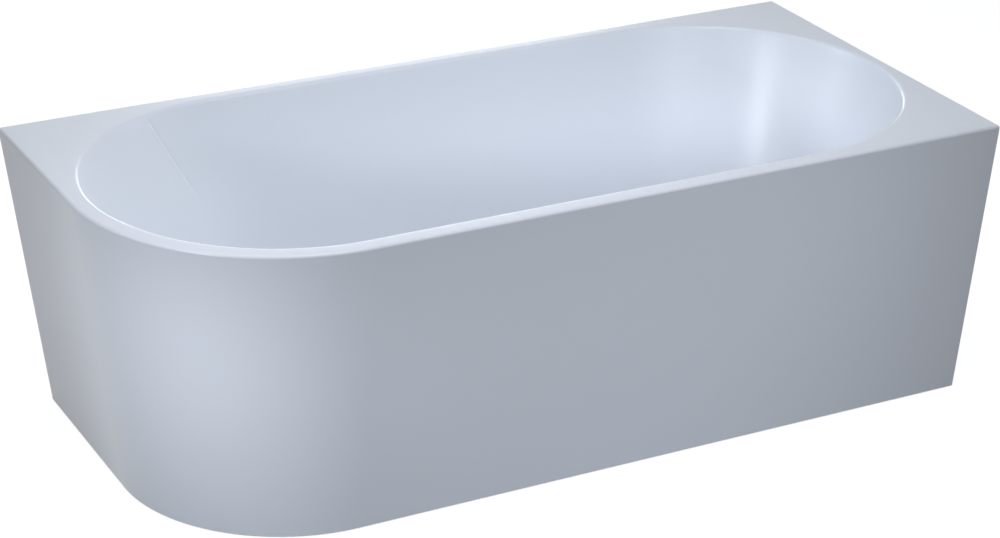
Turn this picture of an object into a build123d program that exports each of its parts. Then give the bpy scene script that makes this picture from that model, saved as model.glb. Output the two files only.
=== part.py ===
from build123d import *
from math import cos, radians, sin, tan
import os

os.makedirs("parts", exist_ok=True)

# The whole bath. X runs from the backrest to the foot end, Y from the room to the wall
# behind the bath, and Z is up from the floor. The origin is under the middle of the bath.
length = 1700
width = 800
rim_height = 585
skirt_floor_gap = 3

# The deck, and the basin's mouth: a slot whose round ends are half as wide as it is.
room_deck = 34
wall_deck = 34
backrest_deck = 34
foot_end_deck = 23
basin_floor = 160
side_slope_deg = 16
backrest_slope_deg = 38
basin_floor_radius = 90
mouth_edge_radius = 9

# Sheet thicknesses, and the small clearances between pieces.
shell_wall = 6
backing_wall = 3
skirt_wall = 5
bond_gap = 0.3
running_clearance = 0.05
overrun = 20

# The skirt leans in towards the floor on the room side and at the backrest end.
skirt_lean = 74
skirt_return = 35
skirt_foot_flange = 25
skirt_edge_radius = 3
outer_edge_radius = 5.5
wall_corner_radius = 3
wall_lip = 30

# The boards and battens bonded under the deck and under the basin.
corner_board_length = 300
corner_board_width = 220
corner_board_thickness = 12
rim_batten_width = 14
rim_batten_height = 22
base_board_thickness = 16
base_board_margin = 6

# The steel frame under the base board: cross rails on top of two long rails.
rail_size = 25
rail_wall = 1.5
rail_corner_radius = 2
long_rail_from_side = 200
long_rail_end = 160
room_rail_start = 200
wall_rail_start = 90
left_cross_rail_from_end = 470
right_cross_rail_from_end = 270
cross_rail_tail = 15
cross_rail_from_front = 100

# The levelling feet, with M12 studs. The stud reaches into the rail by its travel.
left_feet_from_end = 250
right_feet_from_end = 210
stud_radius = 6
foot_travel = 20
stud_hole_clearance = 0.75
sole_thickness = 2
foot_base_radius = 25
foot_height = 20

# The waste, with the trap under it and the overflow in the basin's room side.
waste_from_round_end = 61
waste_hole_radius = 26
waste_seat_radius = 38
waste_seat_depth = 2.5
overflow_below_rim = 90
overflow_hole_radius = 25
plug_travel = 9

# Levels and places that several pieces share.
right = length / 2
left = -length / 2
back = width / 2
front = -width / 2
round_corner_radius = width / 2
mouth_front = front + room_deck
mouth_back = back - wall_deck
mouth_left = left + backrest_deck
mouth_right = right - foot_end_deck
mouth_middle = (mouth_front + mouth_back) / 2
mouth_radius = (mouth_back - mouth_front) / 2
deck_underside = rim_height - shell_wall
basin_depth = rim_height - basin_floor
side_slope = tan(radians(side_slope_deg))
side_cos = cos(radians(side_slope_deg))
side_sin = sin(radians(side_slope_deg))
backrest_slope = tan(radians(backrest_slope_deg))
backrest_cos = cos(radians(backrest_slope_deg))
skirt_slope = skirt_lean / (deck_underside - skirt_floor_gap)
backing_out = shell_wall + bond_gap + backing_wall
board_top = basin_floor - backing_out
board_underside = board_top - base_board_thickness
long_rail_spread = back - long_rail_from_side
cross_rail_underside = board_underside - rail_size
long_rail_underside = cross_rail_underside - rail_size
waste_x = mouth_right - mouth_radius - waste_from_round_end
waste_axis = Plane((waste_x, mouth_middle, 0))


def save(piece, name):
    """Label a finished piece and write it under its node's name."""
    piece.part.label = name
    export_step(piece.part, f"parts/{name}.step")


def turned(axis_plane, outline):
    """A body turned about a plane's own Z axis from (radius, height) points."""
    half_plane = Plane(axis_plane.origin, x_dir=axis_plane.x_dir, z_dir=-axis_plane.y_dir)
    with BuildPart() as body:
        with BuildSketch(half_plane):
            with BuildLine():
                Polyline(*outline, close=True)
            make_face()
        revolve(axis=Axis(axis_plane.origin, axis_plane.z_dir))
    return body.part


def ring(axis_plane, inner, outer, low, high):
    """A plain ring between two heights on a plane's own Z axis."""
    return turned(axis_plane, [(inner, low), (outer, low), (outer, high), (inner, high)])


def drill(places, radius, depth):
    """Cut upright holes through the piece being made, centred on each place."""
    for place in places:
        with Locations(place):
            Cylinder(radius, depth, mode=Mode.SUBTRACT)


def skirt_inset(level):
    """How far the skirt's outer face has leant in at a level."""
    return (deck_underside - level) * skirt_slope


def room_plan(level, wall, past):
    """Plan inside the skirt: a wall in from its outer face, and past the two wall sides."""
    inset = skirt_inset(level) + wall
    with BuildSketch(Plane.XY.offset(level)) as plan:
        with Locations((left + inset, front + inset)):
            Rectangle(length + past - inset, width + past - inset, align=(Align.MIN, Align.MIN))
        corner = plan.vertices().sort_by_distance((left + inset, front + inset))[0]
        fillet(corner, round_corner_radius - inset)
    return plan.sketch


def room_block(low, high, wall, past):
    """The space inside the skirt between two levels, leaning as the skirt leans."""
    with BuildPart() as block:
        loft([room_plan(low, wall, past), room_plan(high, wall, past)], ruled=True)
    return block.part


def basin_slot(level, grow):
    """The basin's plan at a level, grown square to its walls."""
    depth = rim_height - level
    half = mouth_radius - depth * side_slope + grow / side_cos
    low_x = mouth_left + depth * backrest_slope - grow / backrest_cos
    high_x = mouth_right - depth * side_slope + grow / side_cos
    with BuildSketch(Plane.XY.offset(level)) as plan:
        with Locations(((low_x + high_x) / 2, mouth_middle)):
            SlotOverall(high_x - low_x, 2 * half)
    return plan.sketch


def basin_block(grow, top):
    """The basin's space up to a level, grown by a wall, with its round floor edge."""
    low = basin_floor - grow
    with BuildPart() as block:
        loft([basin_slot(low, grow), basin_slot(top, grow)], ruled=True)
        fillet(block.edges().group_by(Axis.Z)[0], basin_floor_radius + grow)
    return block.part


# The overflow stands square to the basin's room side. Its plane lies on the wet face, with
# Z out through the wall and Y up along it.
overflow_level = rim_height - overflow_below_rim
overflow_point = (waste_x, mouth_front + overflow_below_rim * side_slope, overflow_level)
overflow_plane = Plane(overflow_point, x_dir=(1, 0, 0), z_dir=(0, -side_cos, -side_sin))

# The tub is one acrylic sheet drawn over a mould: a flat deck, the basin, a seat for the
# waste and a turned-down lip along the two sides that stand against walls.
lip_start_x = left + skirt_lean + skirt_return + bond_gap
lip_start_y = front + skirt_lean + skirt_return + bond_gap
lip_low = deck_underside - wall_lip

with BuildPart() as tub_shell:
    extrude(room_plan(deck_underside, 0, 0), amount=shell_wall)
    with BuildSketch(Plane.XY.offset(lip_low)):
        with Locations((lip_start_x, back - shell_wall)):
            Rectangle(right - lip_start_x, shell_wall, align=(Align.MIN, Align.MIN))
        with Locations((right - shell_wall, lip_start_y)):
            Rectangle(shell_wall, back - lip_start_y, align=(Align.MIN, Align.MIN))
    extrude(amount=wall_lip)
    upright_edges = tub_shell.edges().filter_by(Axis.Z)
    wall_corners = [(left, back, rim_height), (right, back, rim_height), (right, front, rim_height)]
    fillet([upright_edges.sort_by_distance(corner)[0] for corner in wall_corners], wall_corner_radius)
    rim_face = tub_shell.faces().sort_by(Axis.Z)[-1]
    fillet(rim_face.outer_wire().edges(), outer_edge_radius)
    add(basin_block(shell_wall, deck_underside))
    add(basin_block(0, rim_height + overrun), mode=Mode.SUBTRACT)
    rim_face = tub_shell.faces().sort_by(Axis.Z)[-1]
    fillet(rim_face.inner_wires()[0].edges(), mouth_edge_radius)
    with Locations((waste_x, mouth_middle, basin_floor)):
        CounterBoreHole(waste_hole_radius, waste_seat_radius, waste_seat_depth, overrun)
    with Locations(overflow_plane):
        Cylinder(overflow_hole_radius, overrun + overrun, mode=Mode.SUBTRACT)
save(tub_shell, "tub_shell")

# Glass-fibre laminate round the outside of the basin, cut away round the overflow so that
# its gasket bears on the acrylic.
overflow_gasket_radius = 33
backing_cutout_radius = overflow_gasket_radius + bond_gap

with BuildPart() as shell_backing:
    add(basin_block(backing_out, deck_underside - bond_gap))
    add(basin_block(shell_wall + bond_gap, deck_underside), mode=Mode.SUBTRACT)
    with Locations((waste_x, mouth_middle, basin_floor)):
        Hole(waste_hole_radius, overrun)
    with Locations(overflow_plane):
        Cylinder(backing_cutout_radius, overrun + overrun, mode=Mode.SUBTRACT)
save(shell_backing, "shell_backing")

# The skirt is one acrylic panel round the room side, the round corner and the backrest end,
# with a return along each wall and a flange turned in along the floor.
with BuildPart() as outer_skirt:
    add(room_block(skirt_floor_gap, deck_underside, 0, 0))
    wall_edges = outer_skirt.edges().filter_by(
        lambda edge: edge.center().Z < deck_underside and edge.center().Z > skirt_floor_gap
    )
    room_wall_edge = wall_edges.sort_by_distance((right, front, lip_low))[0]
    backrest_wall_edge = wall_edges.sort_by_distance((left, back, lip_low))[0]
    fillet([room_wall_edge, backrest_wall_edge], skirt_edge_radius)
    add(
        room_block(skirt_floor_gap + skirt_wall, deck_underside + overrun, skirt_wall, -skirt_wall),
        mode=Mode.SUBTRACT,
    )
    add(
        room_block(0, skirt_floor_gap + overrun, skirt_wall + skirt_foot_flange, overrun),
        mode=Mode.SUBTRACT,
    )
    with BuildSketch(Plane.XY):
        with Locations((lip_start_x - bond_gap, back)):
            Rectangle(length, skirt_wall, align=(Align.MIN, Align.MAX))
        with Locations((right, lip_start_y - bond_gap)):
            Rectangle(skirt_wall, width, align=(Align.MAX, Align.MIN))
    extrude(amount=rim_height, mode=Mode.SUBTRACT)
save(outer_skirt, "outer_skirt")

# Plywood boards that stiffen the three square corners of the deck.
corner_board_low = deck_underside - corner_board_thickness
corner_places = {
    "back_left": (left, back, (Align.MIN, Align.MAX, Align.MIN)),
    "back_right": (right, back, (Align.MAX, Align.MAX, Align.MIN)),
    "front_right": (right, front, (Align.MAX, Align.MIN, Align.MIN)),
}
for place, (corner_x, corner_y, corner_align) in corner_places.items():
    with BuildPart() as corner_board:
        board_plan = room_plan(corner_board_low, skirt_wall + bond_gap, -shell_wall - bond_gap)
        extrude(board_plan, amount=corner_board_thickness)
        with Locations((corner_x, corner_y, corner_board_low)):
            Box(
                corner_board_length,
                corner_board_width,
                corner_board_thickness,
                align=corner_align,
                mode=Mode.INTERSECT,
            )
        add(basin_block(backing_out + bond_gap, rim_height), mode=Mode.SUBTRACT)
    save(corner_board, f"corner_board_{place}")

# Timber battens under the long edges of the deck, between the corner boards.
batten_start = left + corner_board_length + corner_board_width
batten_end = right - corner_board_length - corner_board_width
batten_low = deck_underside - rim_batten_height
batten_sides = {
    "front": front + skirt_wall + skirt_inset(batten_low) + bond_gap,
    "back": back - shell_wall - bond_gap - rim_batten_width,
}
for side, batten_y in batten_sides.items():
    with BuildPart() as rim_batten:
        with Locations((batten_start, batten_y, batten_low)):
            Box(
                batten_end - batten_start,
                rim_batten_width,
                rim_batten_height,
                align=(Align.MIN, Align.MIN, Align.MIN),
            )
    save(rim_batten, f"rim_batten_{side}")

# The base board is laminated under the flat of the basin's floor. It is notched from the
# waste to its room edge for the overflow hose, and its screws have pilot holes.
side_flat_share = tan(radians(90 - side_slope_deg) / 2)
backrest_flat_share = tan(radians(90 - backrest_slope_deg) / 2)
flat_left = mouth_left + basin_depth * backrest_slope + basin_floor_radius * backrest_flat_share
flat_right = mouth_right - basin_depth * side_slope - basin_floor_radius * side_flat_share
flat_half = mouth_radius - basin_depth * side_slope - basin_floor_radius * side_flat_share
board_half = flat_half - base_board_margin
board_notch_radius = 60
hose_notch_width = 50
screw_radius = 2.5
screw_head_radius = 5
screw_head_height = 2.5
screw_bite = 12
screw_spread = 80
left_cross_rail_x = left + left_cross_rail_from_end
right_cross_rail_x = right - right_cross_rail_from_end
middle_cross_rail_x = (left_cross_rail_x + right_cross_rail_x) / 2
cross_rail_x = [left_cross_rail_x, middle_cross_rail_x, right_cross_rail_x]
screw_places = [(x, side * screw_spread) for x in cross_rail_x for side in (-1, 1)]

with BuildPart() as base_board:
    with BuildSketch(Plane.XY.offset(board_underside)):
        with Locations(((flat_left + flat_right) / 2, mouth_middle)):
            SlotOverall(flat_right - flat_left - 2 * base_board_margin, 2 * board_half)
        with Locations((waste_x, mouth_middle)):
            Circle(board_notch_radius, mode=Mode.SUBTRACT)
            Rectangle(hose_notch_width, width, align=(Align.CENTER, Align.MAX), mode=Mode.SUBTRACT)
        with Locations(screw_places):
            Circle(screw_radius + running_clearance, mode=Mode.SUBTRACT)
    extrude(amount=base_board_thickness)
save(base_board, "base_board")

# The steel rails are square tube. Long rails take the feet in their undersides, and cross
# rails take the base board's screws.
left_feet_x = left + left_feet_from_end
right_feet_x = right - right_feet_from_end
feet_x = {"left": left_feet_x, "middle": (left_feet_x + right_feet_x) / 2, "right": right_feet_x}
foot_rows = {"front": -long_rail_spread, "back": long_rail_spread}
foot_places = {
    f"{row}_{column}": (x, y) for row, y in foot_rows.items() for column, x in feet_x.items()
}
stud_hole_radius = stud_radius + stud_hole_clearance


def rail_plane(start, along):
    """A plane across a rail at its start, with Z along the rail and Y up."""
    side = (0, 1, 0) if along[0] else (-1, 0, 0)
    return Plane(start, x_dir=side, z_dir=along)


def square_tube(start, along, tube_length):
    """A square tube from the middle of its first end."""
    with BuildPart() as tube:
        with BuildSketch(rail_plane(start, along)):
            RectangleRounded(rail_size, rail_size, rail_corner_radius)
            Rectangle(rail_size - 2 * rail_wall, rail_size - 2 * rail_wall, mode=Mode.SUBTRACT)
        extrude(amount=tube_length)
    return tube.part


long_rail_level = long_rail_underside + rail_size / 2
cross_rail_level = cross_rail_underside + rail_size / 2
long_rail_right = right - long_rail_end
long_rails = {
    "front": (left + room_rail_start, -long_rail_spread),
    "back": (left + wall_rail_start, long_rail_spread),
}
cross_rail_end = long_rail_spread + cross_rail_tail
cross_rail_nose = front + cross_rail_from_front
cross_rails = {
    "left": (left_cross_rail_x, -cross_rail_end),
    "middle": (middle_cross_rail_x, cross_rail_nose),
    "right": (right_cross_rail_x, cross_rail_nose),
}
cap_places = []

# Angle brackets tie the frame to the skirt: two from the noses of the cross rails to the
# room side, and one from the wall-side long rail to the backrest end.
bracket_thickness = 2.5
bracket_width = 22
bracket_height = 40
bracket_overlap = 55
bracket_screw_radius = 3
bracket_hole_radius = bracket_screw_radius + running_clearance
bracket_screw_head = 5.5
bracket_screw_head_height = 2.5
bracket_screw_bite = 6
bracket_screw_from_end = 14
bracket_screw_spacing = 26
room_brackets = {"middle": cross_rails["middle"], "right": cross_rails["right"]}
bracket_screw_places = [
    (x, y + bracket_screw_from_end + step * bracket_screw_spacing, board_underside)
    for x, y in room_brackets.values()
    for step in (0, 1)
] + [
    (
        left + wall_rail_start + bracket_screw_from_end + step * bracket_screw_spacing,
        long_rail_spread,
        cross_rail_underside,
    )
    for step in (0, 1)
]

for side, (rail_start, rail_y) in long_rails.items():
    with BuildPart() as long_rail:
        add(square_tube((rail_start, rail_y, long_rail_level), (1, 0, 0), long_rail_right - rail_start))
        drill([(x, rail_y, long_rail_underside) for x in feet_x.values()], stud_hole_radius, rail_size)
        top_holes = [place for place in bracket_screw_places if place[1] == rail_y]
        drill(top_holes, bracket_hole_radius, rail_size)
    save(long_rail, f"{side}_long_rail")
    cap_places.append(rail_plane((rail_start, rail_y, long_rail_level), (-1, 0, 0)))
    cap_places.append(rail_plane((long_rail_right, rail_y, long_rail_level), (1, 0, 0)))

for name, (rail_x, rail_start) in cross_rails.items():
    with BuildPart() as cross_rail:
        add(square_tube((rail_x, rail_start, cross_rail_level), (0, 1, 0), cross_rail_end - rail_start))
        through_holes = [(x, y, cross_rail_level) for x, y in screw_places if x == rail_x]
        drill(through_holes, screw_radius + running_clearance, rail_size + overrun)
        top_holes = [place for place in bracket_screw_places if place[0] == rail_x]
        drill(top_holes, bracket_hole_radius, rail_size)
    save(cross_rail, f"{name}_cross_rail")
    cap_places.append(rail_plane((rail_x, rail_start, cross_rail_level), (0, -1, 0)))
    cap_places.append(rail_plane((rail_x, cross_rail_end, cross_rail_level), (0, 1, 0)))

# Push-in plastic caps close every rail end.
cap_thickness = 2
cap_plug_length = 10
cap_plug_size = rail_size - 2 * rail_wall - 2 * running_clearance

with BuildPart() as rail_end_caps:
    for plane in cap_places:
        with BuildSketch(plane):
            RectangleRounded(rail_size, rail_size, rail_corner_radius)
        extrude(amount=cap_thickness)
        with BuildSketch(plane):
            Rectangle(cap_plug_size, cap_plug_size)
        extrude(amount=-cap_plug_length)
save(rail_end_caps, "rail_end_caps")

# Wood screws go up through the cross rails into the base board.
with BuildPart() as base_board_screws:
    with Locations([(x, y, cross_rail_underside) for x, y in screw_places]):
        Cylinder(
            screw_radius,
            rail_size + screw_bite,
            align=(Align.CENTER, Align.CENTER, Align.MIN),
        )
        Cylinder(
            screw_head_radius,
            screw_head_height,
            align=(Align.CENTER, Align.CENTER, Align.MAX),
        )
save(base_board_screws, "base_board_screws")


def bracket_outline(low, reach):
    """Points of an angle bracket as (distance in from the wall plane, level)."""
    high = low + bracket_height
    foot = skirt_inset(low) + skirt_wall + bond_gap
    tip = skirt_inset(high) + skirt_wall + bond_gap
    knee = low + bracket_thickness
    return [
        (foot, low),
        (reach, low),
        (reach, knee),
        (skirt_inset(knee) + skirt_wall + bond_gap + bracket_thickness, knee),
        (tip + bracket_thickness, high),
        (tip, high),
    ]


bracket_planes = {
    f"room_{name}": (
        Plane((x, front, 0), x_dir=(0, 1, 0), z_dir=(1, 0, 0)),
        board_underside,
        cross_rail_from_front,
    )
    for name, (x, y) in room_brackets.items()
}
bracket_planes["backrest"] = (
    Plane((left, long_rail_spread, 0), x_dir=(1, 0, 0), z_dir=(0, -1, 0)),
    cross_rail_underside,
    wall_rail_start,
)
for name, (plane, low, rail_end) in bracket_planes.items():
    with BuildPart() as skirt_bracket:
        with BuildSketch(plane):
            with BuildLine():
                Polyline(*bracket_outline(low, rail_end + bracket_overlap), close=True)
            make_face()
        extrude(amount=bracket_width / 2, both=True)
        drill(bracket_screw_places, bracket_hole_radius, rail_size)
    save(skirt_bracket, f"skirt_bracket_{name}")

with BuildPart() as bracket_screws:
    with Locations([(x, y, z + bracket_thickness) for x, y, z in bracket_screw_places]):
        Cylinder(
            bracket_screw_radius,
            bracket_thickness + bracket_screw_bite,
            align=(Align.CENTER, Align.CENTER, Align.MAX),
        )
        Cylinder(
            bracket_screw_head,
            bracket_screw_head_height,
            align=(Align.CENTER, Align.CENTER, Align.MIN),
        )
save(bracket_screws, "bracket_screws")

# Each foot is a threaded stud in a weld nut under the long rail, locked by a thin nut, and
# stands in a swivel pad with a rubber sole.
nut_flats = 19
weld_nut_height = 10
locknut_height = 6
stud_seat_level = 6
spanner_flats = 17
spanner_low = 22
spanner_height = 8
stud_chamfer = 1
foot_neck_radius = 11
foot_base_height = 6
foot_sole_margin = 1
weld_nut_low = long_rail_underside - weld_nut_height
locknut_low = weld_nut_low - locknut_height

for nut_name, nut_low, nut_height in (
    ("foot_weld_nuts", weld_nut_low, weld_nut_height),
    ("foot_locknuts", locknut_low, locknut_height),
):
    with BuildPart() as nuts:
        with BuildSketch(Plane.XY.offset(nut_low)):
            with Locations(list(foot_places.values())):
                RegularPolygon(nut_flats / 2, side_count=6, major_radius=False)
                Circle(stud_radius + running_clearance, mode=Mode.SUBTRACT)
        extrude(amount=nut_height)
    save(nuts, nut_name)

for place, (foot_x, foot_y) in foot_places.items():
    foot_axis = Plane((foot_x, foot_y, 0))

    with BuildPart() as foot_sole:
        with BuildSketch(foot_axis):
            Circle(foot_base_radius - foot_sole_margin)
        extrude(amount=sole_thickness)
    save(foot_sole, f"foot_sole_{place}")

    with BuildPart() as foot_pad:
        bore = stud_radius + running_clearance
        add(
            turned(
                foot_axis,
                [
                    (0, sole_thickness),
                    (foot_base_radius, sole_thickness),
                    (foot_base_radius, foot_base_height),
                    (foot_neck_radius, foot_height),
                    (bore, foot_height),
                    (bore, stud_seat_level),
                    (0, stud_seat_level),
                ],
            )
        )
    save(foot_pad, f"foot_pad_{place}")

    with BuildPart() as foot_stud:
        with BuildSketch(foot_axis.offset(stud_seat_level)):
            Circle(stud_radius)
        extrude(amount=long_rail_underside + foot_travel - stud_seat_level)
        chamfer(foot_stud.edges(), stud_chamfer)
        with BuildSketch(foot_axis.offset(spanner_low)):
            RegularPolygon(spanner_flats / 2, side_count=6, major_radius=False)
        extrude(amount=spanner_height)
    save(foot_stud, f"foot_stud_{place}")

# The click-clack waste. Its chromed flange sits in the dished seat of the floor, and its
# tail screws into the tee below. Three spokes in the tail carry the cartridge.
flange_radius = 36
flange_rim = 2.3
flange_gasket_thickness = 1
flange_edge_radius = 0.8
dish_radius = 27
dish_depth = 4.8
throat_radius = 21.5
tail_radius = 23.9
tail_length = 24
boss_radius = 9
boss_height = 5
spoke_width = 5
spoke_count = 3
spoke_length = (throat_radius + tail_radius) / 2
lower_gasket_thickness = 3
seat_level = basin_floor - waste_seat_depth
flange_low = seat_level + flange_gasket_thickness
flange_top = flange_low + flange_rim
tail_low = basin_floor - tail_length
spigot_radius = waste_hole_radius - bond_gap

with BuildPart() as waste_upper_gasket:
    add(ring(waste_axis, waste_hole_radius, flange_radius, seat_level, flange_low))
save(waste_upper_gasket, "waste_upper_gasket")

cartridge_radius = 6
cartridge_head_radius = 8.5
cartridge_head_height = 3
cartridge_rise = 10
cartridge_drop = 13
cartridge_floor = 2
stem_radius = 4
boss_top = tail_low + boss_height

with BuildPart() as waste_flange:
    add(
        turned(
            waste_axis,
            [
                (dish_radius, flange_top),
                (flange_radius, flange_top),
                (flange_radius, flange_low),
                (spigot_radius, flange_low),
                (spigot_radius, flange_low - dish_depth),
                (tail_radius, flange_low - dish_depth - flange_rim),
                (tail_radius, tail_low),
                (throat_radius, tail_low),
                (throat_radius, flange_top - dish_depth),
            ],
        )
    )
    flange_edges = waste_flange.edges().filter_by(GeomType.CIRCLE).group_by(Axis.Z)[-1]
    fillet(flange_edges.sort_by(Edge.length)[-1], flange_edge_radius)
    with BuildSketch(waste_axis.offset(tail_low)):
        Circle(boss_radius)
        with PolarLocations(0, spoke_count):
            Rectangle(spoke_length, spoke_width, align=(Align.MIN, Align.CENTER))
        Circle(cartridge_radius + running_clearance, mode=Mode.SUBTRACT)
    extrude(amount=boss_height)
save(waste_flange, "waste_flange")

# The cartridge hangs in the flange's boss, with a spring under the stem.
cartridge_low = boss_top - cartridge_drop
cartridge_top = boss_top + cartridge_rise
spring_low = cartridge_low + cartridge_floor
stem_bore = stem_radius + running_clearance

with BuildPart() as plug_cartridge:
    add(
        turned(
            waste_axis,
            [
                (0, cartridge_low),
                (cartridge_radius, cartridge_low),
                (cartridge_radius, boss_top),
                (cartridge_head_radius, boss_top),
                (cartridge_head_radius, boss_top + cartridge_head_height),
                (cartridge_radius, boss_top + cartridge_head_height),
                (cartridge_radius, cartridge_top),
                (stem_bore, cartridge_top),
                (stem_bore, spring_low),
                (0, spring_low),
            ],
        )
    )
save(plug_cartridge, "plug_cartridge")

# The cap, its seal and the stem rise together when the cap is pushed.
cap_radius = 31
cap_edge = 1.8
cap_crown = 4.2
cap_hub_drop = 4
cap_socket_depth = 4
seal_section_radius = 1.5
seal_radius = 22.4
dish_slope = dish_depth / (dish_radius - throat_radius)
dish_hypotenuse = (1 + dish_slope * dish_slope) ** 0.5
dish_level_at_seal = flange_top - (dish_radius - seal_radius) * dish_slope
seal_level = dish_level_at_seal + (seal_section_radius + bond_gap) * dish_hypotenuse
cap_low = flange_top + bond_gap
hub_low = cap_low - cap_hub_drop
hub_radius = seal_radius - seal_section_radius
cap_dome_height = cap_crown - cap_edge
cap_dome_radius = (cap_radius * cap_radius + cap_dome_height * cap_dome_height) / (2 * cap_dome_height)

with BuildPart() as plug_cap:
    with BuildSketch(Plane(waste_axis.origin, x_dir=(1, 0, 0), z_dir=(0, -1, 0))):
        with BuildLine():
            cap_line = Polyline(
                (0, cap_low + cap_crown),
                (0, hub_low),
                (hub_radius, hub_low),
                (hub_radius, cap_low),
                (cap_radius, cap_low),
                (cap_radius, cap_low + cap_edge),
            )
            RadiusArc(cap_line @ 1, cap_line @ 0, -cap_dome_radius)
        make_face()
    revolve(axis=Axis(waste_axis.origin, (0, 0, 1)))
    with Locations((waste_x, mouth_middle, hub_low)):
        Cylinder(
            stem_bore,
            cap_socket_depth,
            align=(Align.CENTER, Align.CENTER, Align.MIN),
            mode=Mode.SUBTRACT,
        )
save(plug_cap, "plug_cap")

with BuildPart() as plug_seal:
    with Locations((waste_x, mouth_middle, seal_level)):
        Torus(seal_radius, seal_section_radius)
save(plug_seal, "plug_seal")

stem_engagement = 4
stem_low = cartridge_top - plug_travel - stem_engagement
with BuildPart() as plug_stem:
    with Locations((waste_x, mouth_middle, stem_low)):
        Cylinder(
            stem_radius,
            hub_low + cap_socket_depth - stem_low,
            align=(Align.CENTER, Align.CENTER, Align.MIN),
        )
save(plug_stem, "plug_stem")

spring_wire_radius = 0.5
spring_radius = 2.9
spring_turns = 5
spring_start = spring_low + spring_wire_radius + running_clearance
spring_height = stem_low - spring_low - 2 * (spring_wire_radius + running_clearance)

with BuildPart() as plug_spring:
    with BuildLine():
        coil = Helix(
            spring_height / spring_turns,
            spring_height,
            spring_radius,
            center=(waste_x, mouth_middle, spring_start),
        )
    with BuildSketch(Plane(coil @ 0, z_dir=coil % 0)):
        Circle(spring_wire_radius)
    sweep(path=coil, is_frenet=True)
save(plug_spring, "plug_spring")

# The waste tee clamps the floor between its flange and the chromed one. The overflow hose
# joins its side, and its dip tube reaches down into the trap.
tee_top = board_top - lower_gasket_thickness
tee_flange_thickness = 4
tee_radius = 28
tee_bore = tail_radius + running_clearance
tee_union_radius = 32
tee_union_height = 8.5
tee_shoulder = 3
dip_radius = 23.5
dip_bore = 20.5
trap_floor_level = 24
trap_wall = 3
trap_radius = 48
trap_top = 100
dip_clearance = 11
hose_bore = 9.7
hose_wall = 2.5
stub_clearance = 0.2
stub_radius = hose_bore - stub_clearance
stub_bore = 7.5
stub_length = 34
hose_overlap = 18
tee_barrel = 29.7
union_high = tee_top - tee_barrel
union_low = union_high - tee_union_height
dip_low = trap_floor_level + trap_wall + dip_clearance
hose_level = (tee_top - tee_flange_thickness + union_high) / 2
stub_end = tee_radius + stub_length
stub_plane = Plane((waste_x, mouth_middle, hose_level), x_dir=(1, 0, 0), z_dir=(0, -1, 0))

with BuildPart() as waste_lower_gasket:
    add(ring(waste_axis, waste_hole_radius, flange_radius, tee_top, board_top))
save(waste_lower_gasket, "waste_lower_gasket")

with BuildPart() as waste_tee:
    add(
        turned(
            waste_axis,
            [
                (tee_bore, tee_top),
                (flange_radius, tee_top),
                (flange_radius, tee_top - tee_flange_thickness),
                (tee_radius, tee_top - tee_flange_thickness),
                (tee_radius, union_high),
                (tee_union_radius, union_high),
                (tee_union_radius, union_low),
                (dip_radius, union_low),
                (dip_radius, dip_low),
                (dip_bore, dip_low),
                (dip_bore, union_low + tee_shoulder),
                (tee_bore, union_low + tee_shoulder),
            ],
        )
    )
    with BuildSketch(stub_plane.offset(tee_bore)):
        Circle(stub_radius)
    extrude(amount=stub_end - tee_bore)
    add(ring(waste_axis, 0, tee_bore, union_high, tee_top), mode=Mode.SUBTRACT)
    with BuildSketch(stub_plane):
        Circle(stub_bore)
    extrude(amount=stub_end, mode=Mode.SUBTRACT)
save(waste_tee, "waste_tee")

# The trap is a cup round the dip tube. A union nut draws its collar up to the tee against a
# washer, and its branch takes the house pipe through a second nut and washer.
trap_neck_clearance = 0.8
trap_neck_radius = 27.5
trap_neck_height = 4
trap_collar_radius = 31.8
trap_washer_thickness = 2
nut_wall = 5
nut_lip = 3.4
nut_rib_count = 12
nut_rib_width = 3
nut_rib_height = 1
pipe_radius = 20
branch_clearance = 0.2
branch_radius = 24
branch_end = 80
branch_stop = 52
branch_level = 76
branch_waterway = 17
branch_nut_length = 22
branch_nut_grip = 18
branch_washer_length = 4
washer_clearance = 0.4
collar_low = trap_top + trap_neck_height
washer_low = union_low - trap_washer_thickness
neck_bore = dip_radius + trap_neck_clearance
branch_plane = Plane((waste_x, mouth_middle, branch_level), x_dir=(0, 1, 0), z_dir=(1, 0, 0))

with BuildPart() as trap_cup:
    add(
        turned(
            waste_axis,
            [
                (0, trap_floor_level),
                (trap_radius, trap_floor_level),
                (trap_radius, trap_top),
                (trap_neck_radius, trap_top),
                (trap_neck_radius, collar_low),
                (trap_collar_radius, collar_low),
                (trap_collar_radius, washer_low),
                (0, washer_low),
            ],
        )
    )
    with BuildSketch(branch_plane):
        Circle(branch_radius)
    extrude(amount=branch_end)
    add(
        ring(waste_axis, 0, trap_radius - trap_wall, trap_floor_level + trap_wall, trap_top - trap_wall),
        mode=Mode.SUBTRACT,
    )
    add(ring(waste_axis, 0, neck_bore, dip_low, washer_low), mode=Mode.SUBTRACT)
    with BuildSketch(branch_plane):
        Circle(branch_waterway)
    extrude(amount=branch_end, mode=Mode.SUBTRACT)
    with BuildSketch(branch_plane.offset(branch_stop)):
        Circle(pipe_radius + branch_clearance)
    extrude(amount=branch_end - branch_stop, mode=Mode.SUBTRACT)
save(trap_cup, "trap_cup")

with BuildPart() as trap_washer:
    add(ring(waste_axis, neck_bore, trap_collar_radius, washer_low, union_low))
save(trap_washer, "trap_washer")

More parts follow.
